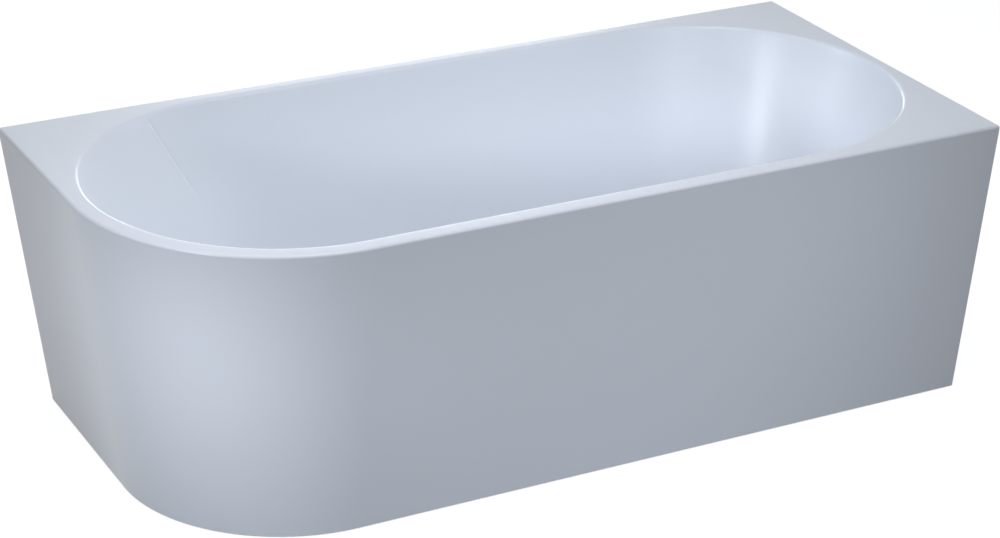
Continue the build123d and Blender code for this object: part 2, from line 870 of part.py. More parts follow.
union_bore = tee_union_radius + running_clearance
union_outer = union_bore + nut_wall
with BuildPart() as trap_union_nut:
    add(
        turned(
            waste_axis,
            [
                (trap_neck_radius + bond_gap, collar_low - nut_lip),
                (union_outer, collar_low - nut_lip),
                (union_outer, union_high),
                (union_bore, union_high),
                (union_bore, collar_low),
                (trap_neck_radius + bond_gap, collar_low),
            ],
        )
    )
    with BuildSketch(waste_axis.offset(collar_low - nut_lip)):
        with PolarLocations(union_outer, nut_rib_count):
            Rectangle(nut_rib_height + nut_rib_height, nut_rib_width)
    extrude(amount=union_high - collar_low + nut_lip)
save(trap_union_nut, "trap_union_nut")

branch_bore = branch_radius + running_clearance
branch_nut_outer = branch_bore + nut_wall
branch_washer_end = branch_end + branch_washer_length
branch_lip = pipe_radius + branch_clearance + washer_clearance
with BuildPart() as trap_outlet_washer:
    add(
        ring(
            branch_plane,
            pipe_radius + branch_clearance,
            branch_radius - washer_clearance,
            branch_end,
            branch_washer_end,
        )
    )
save(trap_outlet_washer, "trap_outlet_washer")

with BuildPart() as trap_outlet_nut:
    add(
        turned(
            branch_plane,
            [
                (branch_bore, branch_end - branch_nut_grip),
                (branch_nut_outer, branch_end - branch_nut_grip),
                (branch_nut_outer, branch_washer_end + nut_lip),
                (branch_lip, branch_washer_end + nut_lip),
                (branch_lip, branch_washer_end),
                (branch_bore, branch_washer_end),
            ],
        )
    )
    with BuildSketch(branch_plane.offset(branch_end - branch_nut_grip)):
        with PolarLocations(branch_nut_outer, nut_rib_count):
            Rectangle(nut_rib_height + nut_rib_height, nut_rib_width)
    extrude(amount=branch_nut_length)
save(trap_outlet_nut, "trap_outlet_nut")

# The overflow: an elbow outside the wall, held by a screw through the cover inside it.
overflow_gasket_thickness = 2.5
overflow_gasket_bore = 24.5
elbow_radius = 27
elbow_bore = 24
elbow_flange = 3
elbow_end = 38
elbow_end_wall = 3
elbow_boss_radius = 5
elbow_boss_length = 22
elbow_stub_height = 23.5
elbow_stub_end = 62
overflow_screw_radius = 2.5
overflow_screw_head = 4.5
overflow_screw_bite = 15
cover_radius = 35
cover_wall = 2
cover_depth = 12
cover_face = 3
cover_mouth_width = 40
cover_edge_radius = 1.5
gasket_top = shell_wall + overflow_gasket_thickness
boss_low = elbow_end - elbow_end_wall - elbow_boss_length
overflow_stub_plane = Plane(
    overflow_plane.from_local_coords(Vector(0, 0, elbow_stub_height)),
    x_dir=(1, 0, 0),
    z_dir=(0, side_sin, -side_cos),
)

with BuildPart() as overflow_gasket:
    add(ring(overflow_plane, overflow_gasket_bore, overflow_gasket_radius, shell_wall, gasket_top))
save(overflow_gasket, "overflow_gasket")

with BuildPart() as overflow_elbow:
    add(
        turned(
            overflow_plane,
            [
                (0, gasket_top),
                (overflow_gasket_radius, gasket_top),
                (overflow_gasket_radius, gasket_top + elbow_flange),
                (elbow_radius, gasket_top + elbow_flange),
                (elbow_radius, elbow_end),
                (0, elbow_end),
            ],
        )
    )
    with BuildSketch(overflow_stub_plane):
        Circle(stub_radius)
    extrude(amount=elbow_stub_end)
    add(ring(overflow_plane, 0, elbow_bore, 0, elbow_end - elbow_end_wall), mode=Mode.SUBTRACT)
    with BuildSketch(overflow_stub_plane):
        Circle(stub_bore)
    extrude(amount=elbow_stub_end, mode=Mode.SUBTRACT)
    add(ring(overflow_plane, 0, elbow_boss_radius, boss_low, elbow_end - elbow_end_wall))
    screw_bore = overflow_screw_radius + running_clearance
    add(ring(overflow_plane, 0, screw_bore, 0, boss_low + overflow_screw_bite), mode=Mode.SUBTRACT)
save(overflow_elbow, "overflow_elbow")

with BuildPart() as overflow_cover:
    add(
        turned(
            overflow_plane,
            [
                (screw_bore, -cover_depth),
                (cover_radius, -cover_depth),
                (cover_radius, 0),
                (cover_radius - cover_wall, 0),
                (cover_radius - cover_wall, cover_face - cover_depth),
                (screw_bore, cover_face - cover_depth),
            ],
        )
    )
    face_edge = (
        overflow_cover.edges()
        .filter_by(GeomType.CIRCLE)
        .group_by(Axis(overflow_plane.origin, overflow_plane.z_dir))[0]
        .sort_by(Edge.length)[-1]
    )
    fillet(face_edge, cover_edge_radius)
    with BuildSketch(overflow_plane.offset(cover_face - cover_depth)):
        with Locations((0, -cover_radius)):
            Rectangle(cover_mouth_width, cover_radius, align=(Align.CENTER, Align.CENTER))
    extrude(amount=cover_depth, mode=Mode.SUBTRACT)
save(overflow_cover, "overflow_cover")

with BuildPart() as overflow_screw:
    screw_end = boss_low + overflow_screw_bite - running_clearance
    add(ring(overflow_plane, 0, overflow_screw_radius, -cover_depth, screw_end))
    add(ring(overflow_plane, 0, overflow_screw_head, -cover_depth - screw_head_height, -cover_depth))
save(overflow_screw, "overflow_screw")

# The hose runs down beside the basin, turns under it and meets the tee. Its ends push over
# the two stubs, each held by a clip.
hose_bend_radius = 70
clip_wall = 1
clip_width = 9
clip_lug = 6
hose_start = overflow_stub_plane.from_local_coords(Vector(0, 0, elbow_stub_end - hose_overlap))
run_to_corner = (hose_start.Z - hose_level) / side_cos
hose_corner = hose_start + overflow_stub_plane.z_dir * run_to_corner
hose_end = Vector(waste_x, mouth_middle - stub_end + hose_overlap, hose_level)

with BuildPart() as overflow_hose:
    with BuildLine() as hose_path:
        FilletPolyline(hose_start, hose_corner, hose_end, radius=hose_bend_radius)
    with BuildSketch(Plane(hose_start, x_dir=(1, 0, 0), z_dir=overflow_stub_plane.z_dir)):
        Circle(hose_bore + hose_wall)
        Circle(hose_bore, mode=Mode.SUBTRACT)
    sweep(path=hose_path.line)
save(overflow_hose, "overflow_hose")

clip_bore = hose_bore + hose_wall + running_clearance
clip_planes = [
    overflow_stub_plane.offset(elbow_stub_end - hose_overlap + clip_width / 2),
    stub_plane.offset(stub_end - hose_overlap + clip_width / 2),
]
with BuildPart() as hose_clips:
    for plane in clip_planes:
        with BuildSketch(plane):
            Circle(clip_bore + clip_wall)
            with Locations((clip_bore + clip_lug / 2, 0)):
                Rectangle(clip_lug, clip_lug)
            Circle(clip_bore, mode=Mode.SUBTRACT)
        extrude(amount=clip_width)
save(hose_clips, "hose_clips")
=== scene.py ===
import bmesh
import bpy
import numpy as np
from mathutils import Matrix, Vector


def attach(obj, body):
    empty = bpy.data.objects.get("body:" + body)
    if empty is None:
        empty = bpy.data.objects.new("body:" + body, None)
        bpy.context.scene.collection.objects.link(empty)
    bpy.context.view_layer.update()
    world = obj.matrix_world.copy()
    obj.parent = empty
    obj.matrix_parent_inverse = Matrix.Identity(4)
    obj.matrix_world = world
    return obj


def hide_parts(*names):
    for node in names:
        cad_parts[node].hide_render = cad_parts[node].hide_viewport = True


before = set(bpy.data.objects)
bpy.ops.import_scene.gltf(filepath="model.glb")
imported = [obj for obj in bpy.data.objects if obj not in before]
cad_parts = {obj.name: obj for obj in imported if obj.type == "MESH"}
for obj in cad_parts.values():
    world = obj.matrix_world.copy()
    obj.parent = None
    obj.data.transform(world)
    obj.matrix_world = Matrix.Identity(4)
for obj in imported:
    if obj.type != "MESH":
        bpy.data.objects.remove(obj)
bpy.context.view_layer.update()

# The tub is one sheet of white sanitary acrylic, heated and drawn over a mould, so its deck,
# basin and outer edge run into each other in soft roundings. It hangs by its deck on the
# boards and the skirt, and a short lip turns down along its two wall sides.
half_length, half_width, rim = 0.85, 0.4, 0.585
backrest_centre, foot_centre, mouth_radius = -0.45, 0.461, 0.366
basin_floor = 0.160
side_lean, backrest_lean = np.radians(16), np.radians(38)
side_slope, backrest_slope = np.tan(side_lean), np.tan(backrest_lean)
floor_radius, mouth_edge, outer_edge, corner_edge = 0.090, 0.009, 0.0055, 0.003
sheet, lip_depth, lip_thickness = 0.006, 0.030, 0.006
lip_start_back, lip_start_foot = -0.7407, -0.2907
waste_x, waste_hole, waste_seat, seat_depth = 0.400, 0.026, 0.038, 0.0025
overflow_drop, overflow_hole = 0.090, 0.025
corner_x, corner_y = half_length - corner_edge, half_width - corner_edge
fold_from, fold_to, foot_turn, back_turn = 110.0, 115.4, (45.2, 46.4), (134.4, 135.6)
near_back, near_foot, near_right = [(x, -corner_y) for x in (backrest_centre, foot_centre, corner_x)]
far_back, far_foot, far_right = [(x, corner_y) for x in (backrest_centre, foot_centre, corner_x)]
far_left, middle_left = (-corner_x, corner_y), (-corner_x, 0)
step_foot = (lip_start_foot + corner_y) / (2 * corner_y)
step_back = (backrest_centre - lip_start_back) / (corner_x + backrest_centre)
foot_lip, back_lip = (step_foot - 0.0006, step_foot + 0.0006), (step_back - 0.0012, step_back + 0.0012)


def stretch(count, wall, along, start, end, facing, steps=()):
    """Columns of one stretch of the way round the tub. Each has a share t from 0 to just
    under 1, and every value runs evenly with t from its first to its last: the angle that
    the basin's wall faces, how far towards the foot end it stands, the two coordinates of
    the deck outline's anchor, and the angle that the outline faces. The steps are shares of
    further columns, such as the two that stand close together where the lip starts."""
    t = np.sort(np.append(np.linspace(0, 1, count, endpoint=False), steps))[:, None]
    first = np.array([wall[0], along[0], *start, facing[0]], float)
    last = np.array([wall[1], along[1], *end, facing[1]], float)
    return first + t * (last - first)


def fold_columns(first, last):
    """Shares of a stretch, close together where the moulded fold by the backrest runs: the
    share of the turn from 90 degrees to the last angle, or back to 90 on the room side."""
    near = np.linspace(fold_from, fold_to, 72)
    return (near - 90) / (last - 90) if first == 90 else 1 - (near - 90) / 90


back_steps = *back_lip, *fold_columns(90, back_turn[0])
round_tub = np.vstack(
    [
        stretch(48, (-90, -90), (0, 1), near_back, near_foot, (-90, -90)),
        stretch(48, (-90, -foot_turn[1]), (1, 1), near_foot, near_right, (-90, -90)),
        stretch(6, (-foot_turn[1], -foot_turn[0]), (1, 1), near_right, near_right, (-90, 0)),
        stretch(96, (-foot_turn[0], foot_turn[0]), (1, 1), near_right, far_right, (0, 0), foot_lip),
        stretch(6, foot_turn, (1, 1), far_right, far_right, (0, 90)),
        stretch(48, (foot_turn[1], 90), (1, 1), far_right, far_foot, (90, 90)),
        stretch(48, (90, 90), (1, 0), far_foot, far_back, (90, 90)),
        stretch(56, (90, back_turn[0]), (0, 0), far_back, far_left, (90, 90), back_steps),
        stretch(6, back_turn, (0, 0), far_left, far_left, (90, 180)),
        stretch(56, (back_turn[1], 180), (0, 0), far_left, middle_left, (180, 180)),
        stretch(112, (180, 270), (0, 0), middle_left, near_back, (180, 270), fold_columns(270, 180)),
    ]
)
wall_angle, towards_foot = np.radians(round_tub[:, 0]), round_tub[:, 1]
anchor, outline_angle = round_tub[:, 2:4], np.radians(round_tub[:, 4])
wall_faces = np.column_stack([np.cos(wall_angle), np.sin(wall_angle)])
outline_faces = np.column_stack([np.cos(outline_angle), np.sin(outline_angle)])
round_corner = round_tub[:, 0] >= 180
straight = (towards_foot > 0) & (np.abs(round_tub[:, 0]) == 90) & (towards_foot < 1)
wall_faces[straight, 0] = 0
backrest_run = backrest_slope - side_slope
wall_lean = np.arctan(side_slope - backrest_run * (1 - towards_foot) * wall_faces[:, 0])
floor_bends, rolls = np.linspace(1, 0, 15), np.linspace(0, 1, 9)[1:]


def tilted(tilt):
    """The way that the wall faces at each column, tilted down from level by an angle."""
    return np.column_stack([wall_faces * np.cos(tilt)[:, None], -np.sin(tilt)])


wall_out = tilted(wall_lean)


def outline(inset):
    """The deck's outline, drawn in by an inset: a rectangle with three small corners and one
    quarter circle round the backrest centre."""
    small = max(corner_edge - inset, 0.0003)
    limit = np.array([half_length, half_width]) - inset - small
    squared = np.clip(anchor, -limit, limit) + small * outline_faces
    quarter = [backrest_centre, 0] + (half_width - inset) * wall_faces
    return np.where(round_corner[:, None], quarter, squared)


def level(plan, height):
    """A row of points: a plan with its height, one for all columns or one each."""
    return np.column_stack([plan, np.broadcast_to(height, len(plan))])


def basin_wall(depth):
    """The basin's wall at a depth below the rim, one for all columns or one each. It is a
    slot whose round ends shrink with depth and whose backrest centre moves along with it."""
    half = mouth_radius - side_slope * depth
    centre = (backrest_centre + backrest_run * depth) * (1 - towards_foot) + foot_centre * towards_foot
    plan = np.column_stack([centre + half * wall_faces[:, 0], half * wall_faces[:, 1]])
    return level(plan, rim - depth)


def turned_from(wall_row, radius, tilt, reach):
    """Points on a ball that rolls along the wall: from its centre, square to the wall row by
    radius, out at a tilt below level by reach."""
    return wall_row - radius * wall_out + reach * tilted(tilt)


def across(first, last, count):
    """Rows that run evenly from one row to another, without the two themselves."""
    return [first + (last - first) * t for t in np.linspace(0, 1, count + 2)[1:-1]]


def ring_round(row, radius, height):
    """A circle round the waste, each point on the line from the waste to its column."""
    away = row[:, :2] - [waste_x, 0]
    away /= np.linalg.norm(away, axis=1)[:, None]
    return level([waste_x, 0] + radius * away, height)


def basin_rows(grow, top_depth, wall_rows=26):
    """The basin's surface, grown square to its walls, from the edge of its flat floor up."""
    foot = basin_wall(rim - basin_floor - floor_radius * (1 - np.sin(wall_lean)))
    bends = [
        turned_from(foot, floor_radius, wall_lean + (np.pi / 2 - wall_lean) * t, floor_radius + grow)
        for t in floor_bends
    ]
    top = turned_from(basin_wall(top_depth), 0, wall_lean, grow)
    return [*bends, *across(bends[-1], top, wall_rows), top]


def closed_mesh(name, *grids):
    """One object of closed skins. Each is a grid of points whose last row joins its first, as
    does its last column. Points that fall together, as at a pole, become one."""
    points, faces, first = [], [], 0
    for grid in grids:
        count, columns = grid.shape[:2]
        i, j = np.meshgrid(np.arange(count), np.arange(columns), indexing="ij")
        up, on = (i + 1) % count, (j + 1) % columns
        corners = [i * columns + j, up * columns + j, up * columns + on, i * columns + on]
        faces.append(np.stack(corners, -1).reshape(-1, 4) + first)
        points.append(grid.reshape(-1, 3))
        first += count * columns
    mesh = bpy.data.meshes.new(name)
    mesh.from_pydata(np.concatenate(points), [], np.concatenate(faces))
    return placed(name, mesh)


def set_down(name, data):
    """A mesh, lamp or camera becomes an object of the scene."""
    item = bpy.data.objects.new(name, data)
    bpy.context.scene.collection.objects.link(item)
    return item


def placed(name, *meshes):
    """An object of one or more meshes, with its doubles merged and its gentle edges smooth."""
    skin = bmesh.new()
    for part in meshes:
        skin.from_mesh(part)
    bmesh.ops.remove_doubles(skin, verts=skin.verts, dist=1e-6)
    mesh = bpy.data.meshes.new(name)
    skin.to_mesh(mesh)
    skin.free()
    mesh.shade_smooth()
    mesh.set_sharp_from_angle(angle=0.6)
    return set_down(name, mesh)


def turned(plane, outline, columns=96, shape=None):
    """A closed skin turned about a plane's Z axis: each (radius, height) point of an outline
    becomes a circle of columns, or of the angles given. A shape may change the radii, from
    the radius, angle and height of every point."""
    origin, x_way, y_way, z_way = [np.array(v, float) for v in plane]
    outline = np.array(outline, float)
    ahead = np.roll(outline, -1, 0)
    if np.sum(outline[:, 0] * ahead[:, 1] - ahead[:, 0] * outline[:, 1]) > 0:
        outline = outline[::-1]
    angle = np.linspace(0, 2 * np.pi, columns, endpoint=False) if np.isscalar(columns) else columns
    radius, height = outline[:, :1] + 0 * angle, outline[:, 1:] + 0 * angle
    if shape:
        radius = shape(radius, angle, height)
    flat = np.cos(angle)[:, None] * x_way + np.sin(angle)[:, None] * y_way
    return origin + radius[..., None] * flat + height[..., None] * z_way


def bored(piece, cutter_grid):
    """Cuts a closed skin out of a piece, and clears the cutter away."""
    cutter = closed_mesh("cutter", cutter_grid)
    cut = piece.modifiers.new("cut", "BOOLEAN")
    cut.operation, cut.solver, cut.object = "DIFFERENCE", "EXACT", cutter
    view = bpy.context.evaluated_depsgraph_get()
    mesh = bpy.data.meshes.new_from_object(piece.evaluated_get(view))
    name = piece.name
    for done in (piece, cutter):
        bpy.data.objects.remove(done)
    return placed(name, mesh)


def stands_for(piece, node, slot, paint, body="bath"):
    """A finished piece takes a CAD piece's place on its body, with its paint."""
    piece.data.materials.clear()
    piece.data.materials.append(paint)
    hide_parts(node)
    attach(piece, body)


wet = basin_rows(0, mouth_edge * (1 - np.sin(wall_lean)))

# Where the backrest's cone begins the mould leaves a fold on each side, from the mouth to 17 cm
# below it: a fine groove with a ridge behind it, and a painted highlight along the ridge.
fold_top, fold_angle, fold_swing, fold_depth = 0.010, 110.8, 20.5, 0.166
fold_width, fold_height, ridge_behind, fold_start, fold_end = 0.0018, 0.0015, 0.0040, 0.008, 0.04


def within(value, low, high, fade_in, fade_out):
    """1 between two limits, and evenly less to 0 at each, over a length of its own."""
    return np.clip((value - low) / fade_in, 0, 1) * np.clip((high - value) / fade_out, 0, 1)


def past_fold(points):
    """How far along the wall each point lies past the fold, towards the backrest, and the
    share of the fold that is left at its depth. The fold swings back, in degrees a metre, as
    it goes down, and it fades in under the mouth and out again lower down."""
    depth = rim - points[:, 2]
    from_centre = points[:, 0] - backrest_centre - backrest_run * depth
    turn = np.degrees(np.abs(np.arctan2(points[:, 1], from_centre)))
    past = np.radians(turn - fold_angle - fold_swing * depth) * (mouth_radius - side_slope * depth)
    return past, within(depth, fold_top, fold_depth, fold_start, fold_end) * (from_centre < 0)


def bell(distance, width):
    """A bell curve: e to the minus square of the distance over the width."""
    return np.exp(-((distance / width) ** 2))


def folded(row):
    """A row of the basin's wall with the groove pushed out and the ridge pushed in."""
    past, share = past_fold(row)
    reach = share * (bell(past, fold_width) - bell(past - ridge_behind, fold_width)) * fold_height
    return row + reach[:, None] * wall_out


bends = len(floor_bends)
wet = [*wet[:bends], *[folded(row) for row in wet[bends:-1]], wet[-1]]
mouth = [
    turned_from(wet[-1], -mouth_edge, wall_lean + (np.pi / 2 - wall_lean) * t + np.pi, mouth_edge)
    for t in rolls
]
deck_edge = level(outline(outer_edge), rim)
edge = [
    level(
        outline(outer_edge) * (1 - np.sin(a)) + outline(0) * np.sin(a),
        rim - outer_edge * (1 - np.cos(a)),
    )
    for a in np.pi / 2 * rolls
]
wall_side = (anchor[:, 1] > 0) & (outline(0)[:, 0] > lip_start_back) & (towards_foot < 1)
foot_side = (towards_foot == 1) & (outline(0)[:, 1] > lip_start_foot)
skirt_top = rim - sheet
lip_low = np.where(wall_side | foot_side, skirt_top - lip_depth, skirt_top)
dry = basin_rows(sheet, sheet * (1 - np.sin(wall_lean)), 8)
tub_grid = np.array(
    [
        ring_round(wet[0], waste_hole, basin_floor - sheet),
        ring_round(wet[0], waste_hole, basin_floor - seat_depth),
        ring_round(wet[0], waste_seat, basin_floor - seat_depth),
        ring_round(wet[0], waste_seat, basin_floor),
        *across(ring_round(wet[0], waste_seat, basin_floor), wet[0], 3),
        *wet,
        *mouth,
        *across(mouth[-1], deck_edge, 3),
        deck_edge,
        *edge,
        level(outline(0), lip_low),
        level(outline(lip_thickness), lip_low),
        level(outline(lip_thickness + 0.001), skirt_top),
        *dry[::-1],
    ]
)
up_wall = np.array([0, -np.sin(side_lean), np.cos(side_lean)])
through_wall = np.array([0, -np.cos(side_lean), -np.sin(side_lean)])
overflow_point = np.array([waste_x, -mouth_radius + overflow_drop * side_slope, rim - overflow_drop])
overflow_plane = overflow_point, (1, 0, 0), up_wall, through_wall


def stepped(*sizes):
    """The outline of a turned part with faces level or upright. The sizes are radii and
    heights in turn: each radius runs level to the next one, and there up or down to its
    height. The last height runs level back to the first radius."""
    radii, heights = sizes[::2], sizes[1::2]
    corners = [(radii[0], heights[0])]
    for radius, below, height in zip(radii[1:], heights, heights[1:]):
        corners += [(radius, below), (radius, height)]
    return [*corners, (radii[0], heights[-1])]


overflow_bore = turned(overflow_plane, stepped(0, -0.02, overflow_hole, 0.02), 64)
tub = bored(closed_mesh("tub_acrylic", tub_grid), overflow_bore)
points = np.empty(len(tub.data.vertices) * 3)
tub.data.vertices.foreach_get("co", points)
past, share = past_fold(points.reshape(-1, 3))
# Each point's share of the painted highlight along the fold's ridge, which the acrylic reads.
painted_fold_highlight = tub.data.attributes.new("painted_fold_highlight", "FLOAT", "POINT")
painted_fold_highlight.data.foreach_set("value", share * bell(past - ridge_behind, fold_width))


def feed(tree, step, feeds):
    """Gives each named input of a step its value, or joins it to another step's outcome."""
    for name, value in feeds.items():
        if isinstance(value, bpy.types.NodeSocket):
            tree.links.new(value, step.inputs[name])
        else:
            step.inputs[name].default_value = value


def added(tree, kind, feeds, outcome=0, **choices):
    """Adds a step of a kind to a finish, with its choices made, and gives its outcome."""
    step = tree.nodes.new("ShaderNode" + kind)
    for name, choice in choices.items():
        setattr(step, name, choice)
    feed(tree, step, feeds)
    return step.outputs[outcome]


def noise(tree, place, scale, detail):
    """A cloudy value at each place."""
    return added(tree, "TexNoise", {"Vector": place, "Scale": scale, "Detail": detail}, "Fac")


def coloured(tree, value, low, high, *between):
    """A colour that follows a value. Each stop is a value and its colour."""
    shade = added(tree, "ValToRGB", {"Fac": value})
    stops = shade.node.color_ramp.elements
    for stop, (at, colour) in zip(stops, (low, high)):
        stop.position, stop.color = at, (*colour, 1)
    for at, colour in between:
        stops.new(at).color = (*colour, 1)
    return shade


def mixed(tree, share, under, over):
    """One colour over another, by a share."""
    return added(tree, "Mix", {"Factor": share, "A": under, "B": over}, "Result", data_type="RGBA")


def new_finish(name):
    """An empty finish, its steps, its shader and the place of each point on the piece."""
    finish = bpy.data.materials.new(name)
    finish.use_nodes = True
    tree = finish.node_tree
    return finish, tree, tree.nodes["Principled BSDF"], added(tree, "TexCoord", {}, "Object")


def acrylic(name, tint):
    """Gloss sanitary acrylic: a faint drift in its white, a slow change in its gloss and a
    very fine orange peel. A painted highlight makes it paler along the fold's ridge."""
    finish, tree, shader, place = new_finish(name)
    drift = noise(tree, place, 2.2, 2)
    shade = coloured(tree, drift, (0.3, [c * 0.993 for c in tint]), (0.7, tint))
    # Painted highlight: the fold's ridge is mixed towards a paler white.
    fold_highlight_share = added(tree, "Attribute", {}, "Fac", attribute_name="painted_fold_highlight")
    gloss = {"Value": noise(tree, place, 9, 5), "To Min": 0.29, "To Max": 0.34}
    peel = {"Height": noise(tree, place, 260, 1), "Strength": 0.03, "Distance": 0.0004}
    feeds = {
        "Base Color": mixed(tree, fold_highlight_share, shade, (0.97, 0.98, 1, 1)),
        "Roughness": added(tree, "MapRange", gloss),
        "Normal": added(tree, "Bump", peel),
        "IOR": 1.49,
    }
    feed(tree, shader, feeds)
    return finish


white_acrylic = acrylic("white_acrylic", (0.812, 0.845, 0.893))
stands_for(tub, "tub_shell", "bath_acrylic", white_acrylic)

# Glass-fibre mat in resin is laid up by hand over the outside of the basin, from the waste up
# to the deck. It stiffens the sheet, and is left rough, with a gap round the overflow.
bond, laminate, gasket_gap = 0.0003, 0.003, 0.0333
backing_in, backing_out = sheet + bond, sheet + bond + laminate


def grained(name, scale, dark, light, gloss, relief, metal=0, detail=4, drawn_out=(1, 1, 1)):
    """A finish whose colour, gloss and fine relief follow one grain, which may be drawn out
    along an axis. The relief is in metres, and gloss is the lowest and highest roughness."""
    finish, tree, shader, place = new_finish(name)
    spread = added(tree, "Mapping", {"Vector": place, "Scale": drawn_out})
    grain = noise(tree, spread, scale, detail)
    ends = {"From Min": 0.3, "From Max": 0.7, "To Min": gloss[0], "To Max": gloss[1]}
    feeds = {
        "Base Color": coloured(tree, grain, (0.32, dark), (0.68, light)),
        "Roughness": added(tree, "MapRange", {"Value": grain, **ends}),
        "Normal": added(tree, "Bump", {"Height": grain, "Distance": relief}),
        "Metallic": metal,
    }
    feed(tree, shader, feeds)
    return finish


def worked(tree, operation, *values):
    """The outcome of a sum on one or two values."""
    return added(tree, "Math", dict(enumerate(values)), operation=operation)


def given(shader, name):
    """The outcome that a shader's input is joined to so far."""
    return shader.inputs[name].links[0].from_socket


def refined(finish):
    """A finish's steps, its shader, the place of each point, and its colour so far."""
    tree = finish.node_tree
    shader = tree.nodes["Principled BSDF"]
    return tree, shader, added(tree, "TexCoord", {}, "Object"), given(shader, "Base Color")


def fibre_mat():
    """Chopped strands in three directions under a clouded resin: each set is a grain drawn
    out along its own way, and the sets are laid over each other by their brightest."""
    finish = grained("glass_fibre_mat", 34, (0.55, 0.56, 0.45), (0.74, 0.74, 0.64), (0.4, 0.62), 0.0006)
    tree, shader, place, resin = refined(finish)
    strand = (0.03, 0.0018, 0.0018)
    top = None
    for turn in ((0.2, 0.3, 0.4), (0.9, 1.2, 1.4), (1.7, 0.2, 2.4)):
        feeds = {"Vector": place, "Rotation": turn, "Scale": strand}
        strands = noise(tree, added(tree, "Mapping", feeds, vector_type="TEXTURE"), 1, 1)
        top = worked(tree, "MAXIMUM", top, strands) if top else strands
    pale = added(tree, "MapRange", {"Value": top, "From Min": 0.58, "From Max": 0.74})
    raised = {"Height": pale, "Distance": 0.0004, "Normal": given(shader, "Normal")}
    colour = mixed(tree, pale, resin, (0.85, 0.85, 0.79, 1))
    feed(tree, shader, {"Base Color": colour, "Normal": added(tree, "Bump", raised)})
    return finish


outside = basin_rows(backing_out, sheet + bond - backing_out * np.sin(wall_lean), 12)
inside = basin_rows(backing_in, sheet + bond - backing_in * np.sin(wall_lean), 12)
backing_grid = np.array(
    [
        ring_round(inside[0], waste_hole, basin_floor - backing_out),
        ring_round(inside[0], waste_hole, basin_floor - backing_in),
        *inside,
        *outside[::-1],
    ]
)
round_gasket = turned(overflow_plane, stepped(0, -0.03, gasket_gap, 0.04), 64)
backing = bored(closed_mesh("glass_fibre_backing", backing_grid), round_gasket)
stands_for(backing, "shell_backing", "glass_fibre", fibre_mat())

# Birch plywood boards are bonded under the three square corners of the deck, and softwood
# battens under its long edges. They take the screws of wall brackets and keep the deck flat.
ply = 0.0015


def dress(paint, *nodes):
    """CAD pieces that keep their own shape get a finish."""
    for node in nodes:
        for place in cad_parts[node].material_slots:
            place.material = paint


def plywood():
    """Veneer with its grain along X on the faces, and level plies of alternate grain on the
    edges, which show wherever the surface doesn't face up or down."""
    veneers, lengthwise = ((0.44, 0.30, 0.165), (0.62, 0.46, 0.28)), (5, 130, 130)
    finish = grained("birch_plywood", 1, *veneers, (0.55, 0.7), 0.0002, 0, 5, lengthwise)
    tree, shader, place, veneer = refined(finish)
    facing = added(tree, "SeparateXYZ", {0: place.node.outputs["Normal"]}, "Z")
    edge_on = worked(tree, "LESS_THAN", worked(tree, "ABSOLUTE", facing), 0.5)
    layer = worked(tree, "PINGPONG", added(tree, "SeparateXYZ", {0: place}, "Z"), ply)
    ends = {"From Min": ply * 0.42, "From Max": ply * 0.58}
    dark_ply = added(tree, "MapRange", {"Value": layer, **ends})
    shown = worked(tree, "MULTIPLY", dark_ply, edge_on)
    feed(tree, shader, {"Base Color": mixed(tree, shown, veneer, (0.27, 0.165, 0.08, 1))})
    return finish


dress(plywood(), *[f"corner_board_{corner}" for corner in ("back_left", "back_right", "front_right")])
pine = grained(
    "sawn_pine", 1, (0.50, 0.33, 0.17), (0.71, 0.52, 0.31), (0.6, 0.78), 0.0003, 0, 5, (3, 150, 260)
)
dress(pine, "rim_batten_front", "rim_batten_back")

# The base board is moisture-resistant chipboard, laminated under the flat of the basin and
# notched round the waste. Its flakes lie every way, some dark and some pale.
flake_scale = 420


def chipboard():
    """Flakes are the cells of a Voronoi pattern, each with its own brown."""
    browns = (0.40, 0.28, 0.16), (0.58, 0.44, 0.27)
    finish = grained("chipboard", flake_scale, *browns, (0.62, 0.8), 0.0004)
    tree, shader, place, ground = refined(finish)
    flakes = added(tree, "TexVoronoi", {"Vector": place, "Scale": flake_scale, "Randomness": 1}, "Color")
    stops = (0.18, (0.27, 0.18, 0.10)), (0.8, (0.64, 0.50, 0.32)), (0.5, (0.47, 0.36, 0.20))
    flake = coloured(tree, added(tree, "RGBToBW", {0: flakes}), *stops)
    feed(tree, shader, {"Base Color": mixed(tree, 0.6, ground, flake)})
    return finish


dress(chipboard(), "base_board")

# The frame is square steel tube in pale grey powder coat: three cross rails under the board
# and two long rails that take the feet. Black nylon caps are pushed into every open end.
powder_coat = grained(
    "grey_powder_coat", 900, (0.50, 0.525, 0.54), (0.56, 0.58, 0.59), (0.42, 0.55), 0.00012, 0, 2
)
rails = ("front_long", "back_long", "left_cross", "middle_cross", "right_cross")
dress(powder_coat, *[f"{rail}_rail" for rail in rails])
nylon = grained("black_nylon", 700, (0.018, 0.018, 0.02), (0.034, 0.034, 0.037), (0.45, 0.6), 0.00005)
dress(nylon, "rail_end_caps")

# Zinc-plated wood screws go up through the cross rails into the base board. Each has a
# domed head with a six-sided socket and a coarse thread that runs to a point.
zinc = grained("bright_zinc", 60, (0.52, 0.53, 0.53), (0.72, 0.72, 0.70), (0.28, 0.46), 0.00003, 0.9, 6)
zinc_steel = "zinc_steel", zinc
upright = np.eye(3)
screw_top, screw_head_low, screw_head_high = 0.1467, 0.1072, 0.1097
wood_seats = [(x, y, screw_head_high) for x in (-0.38, 0.1, 0.58) for y in (-0.08, 0.08)]


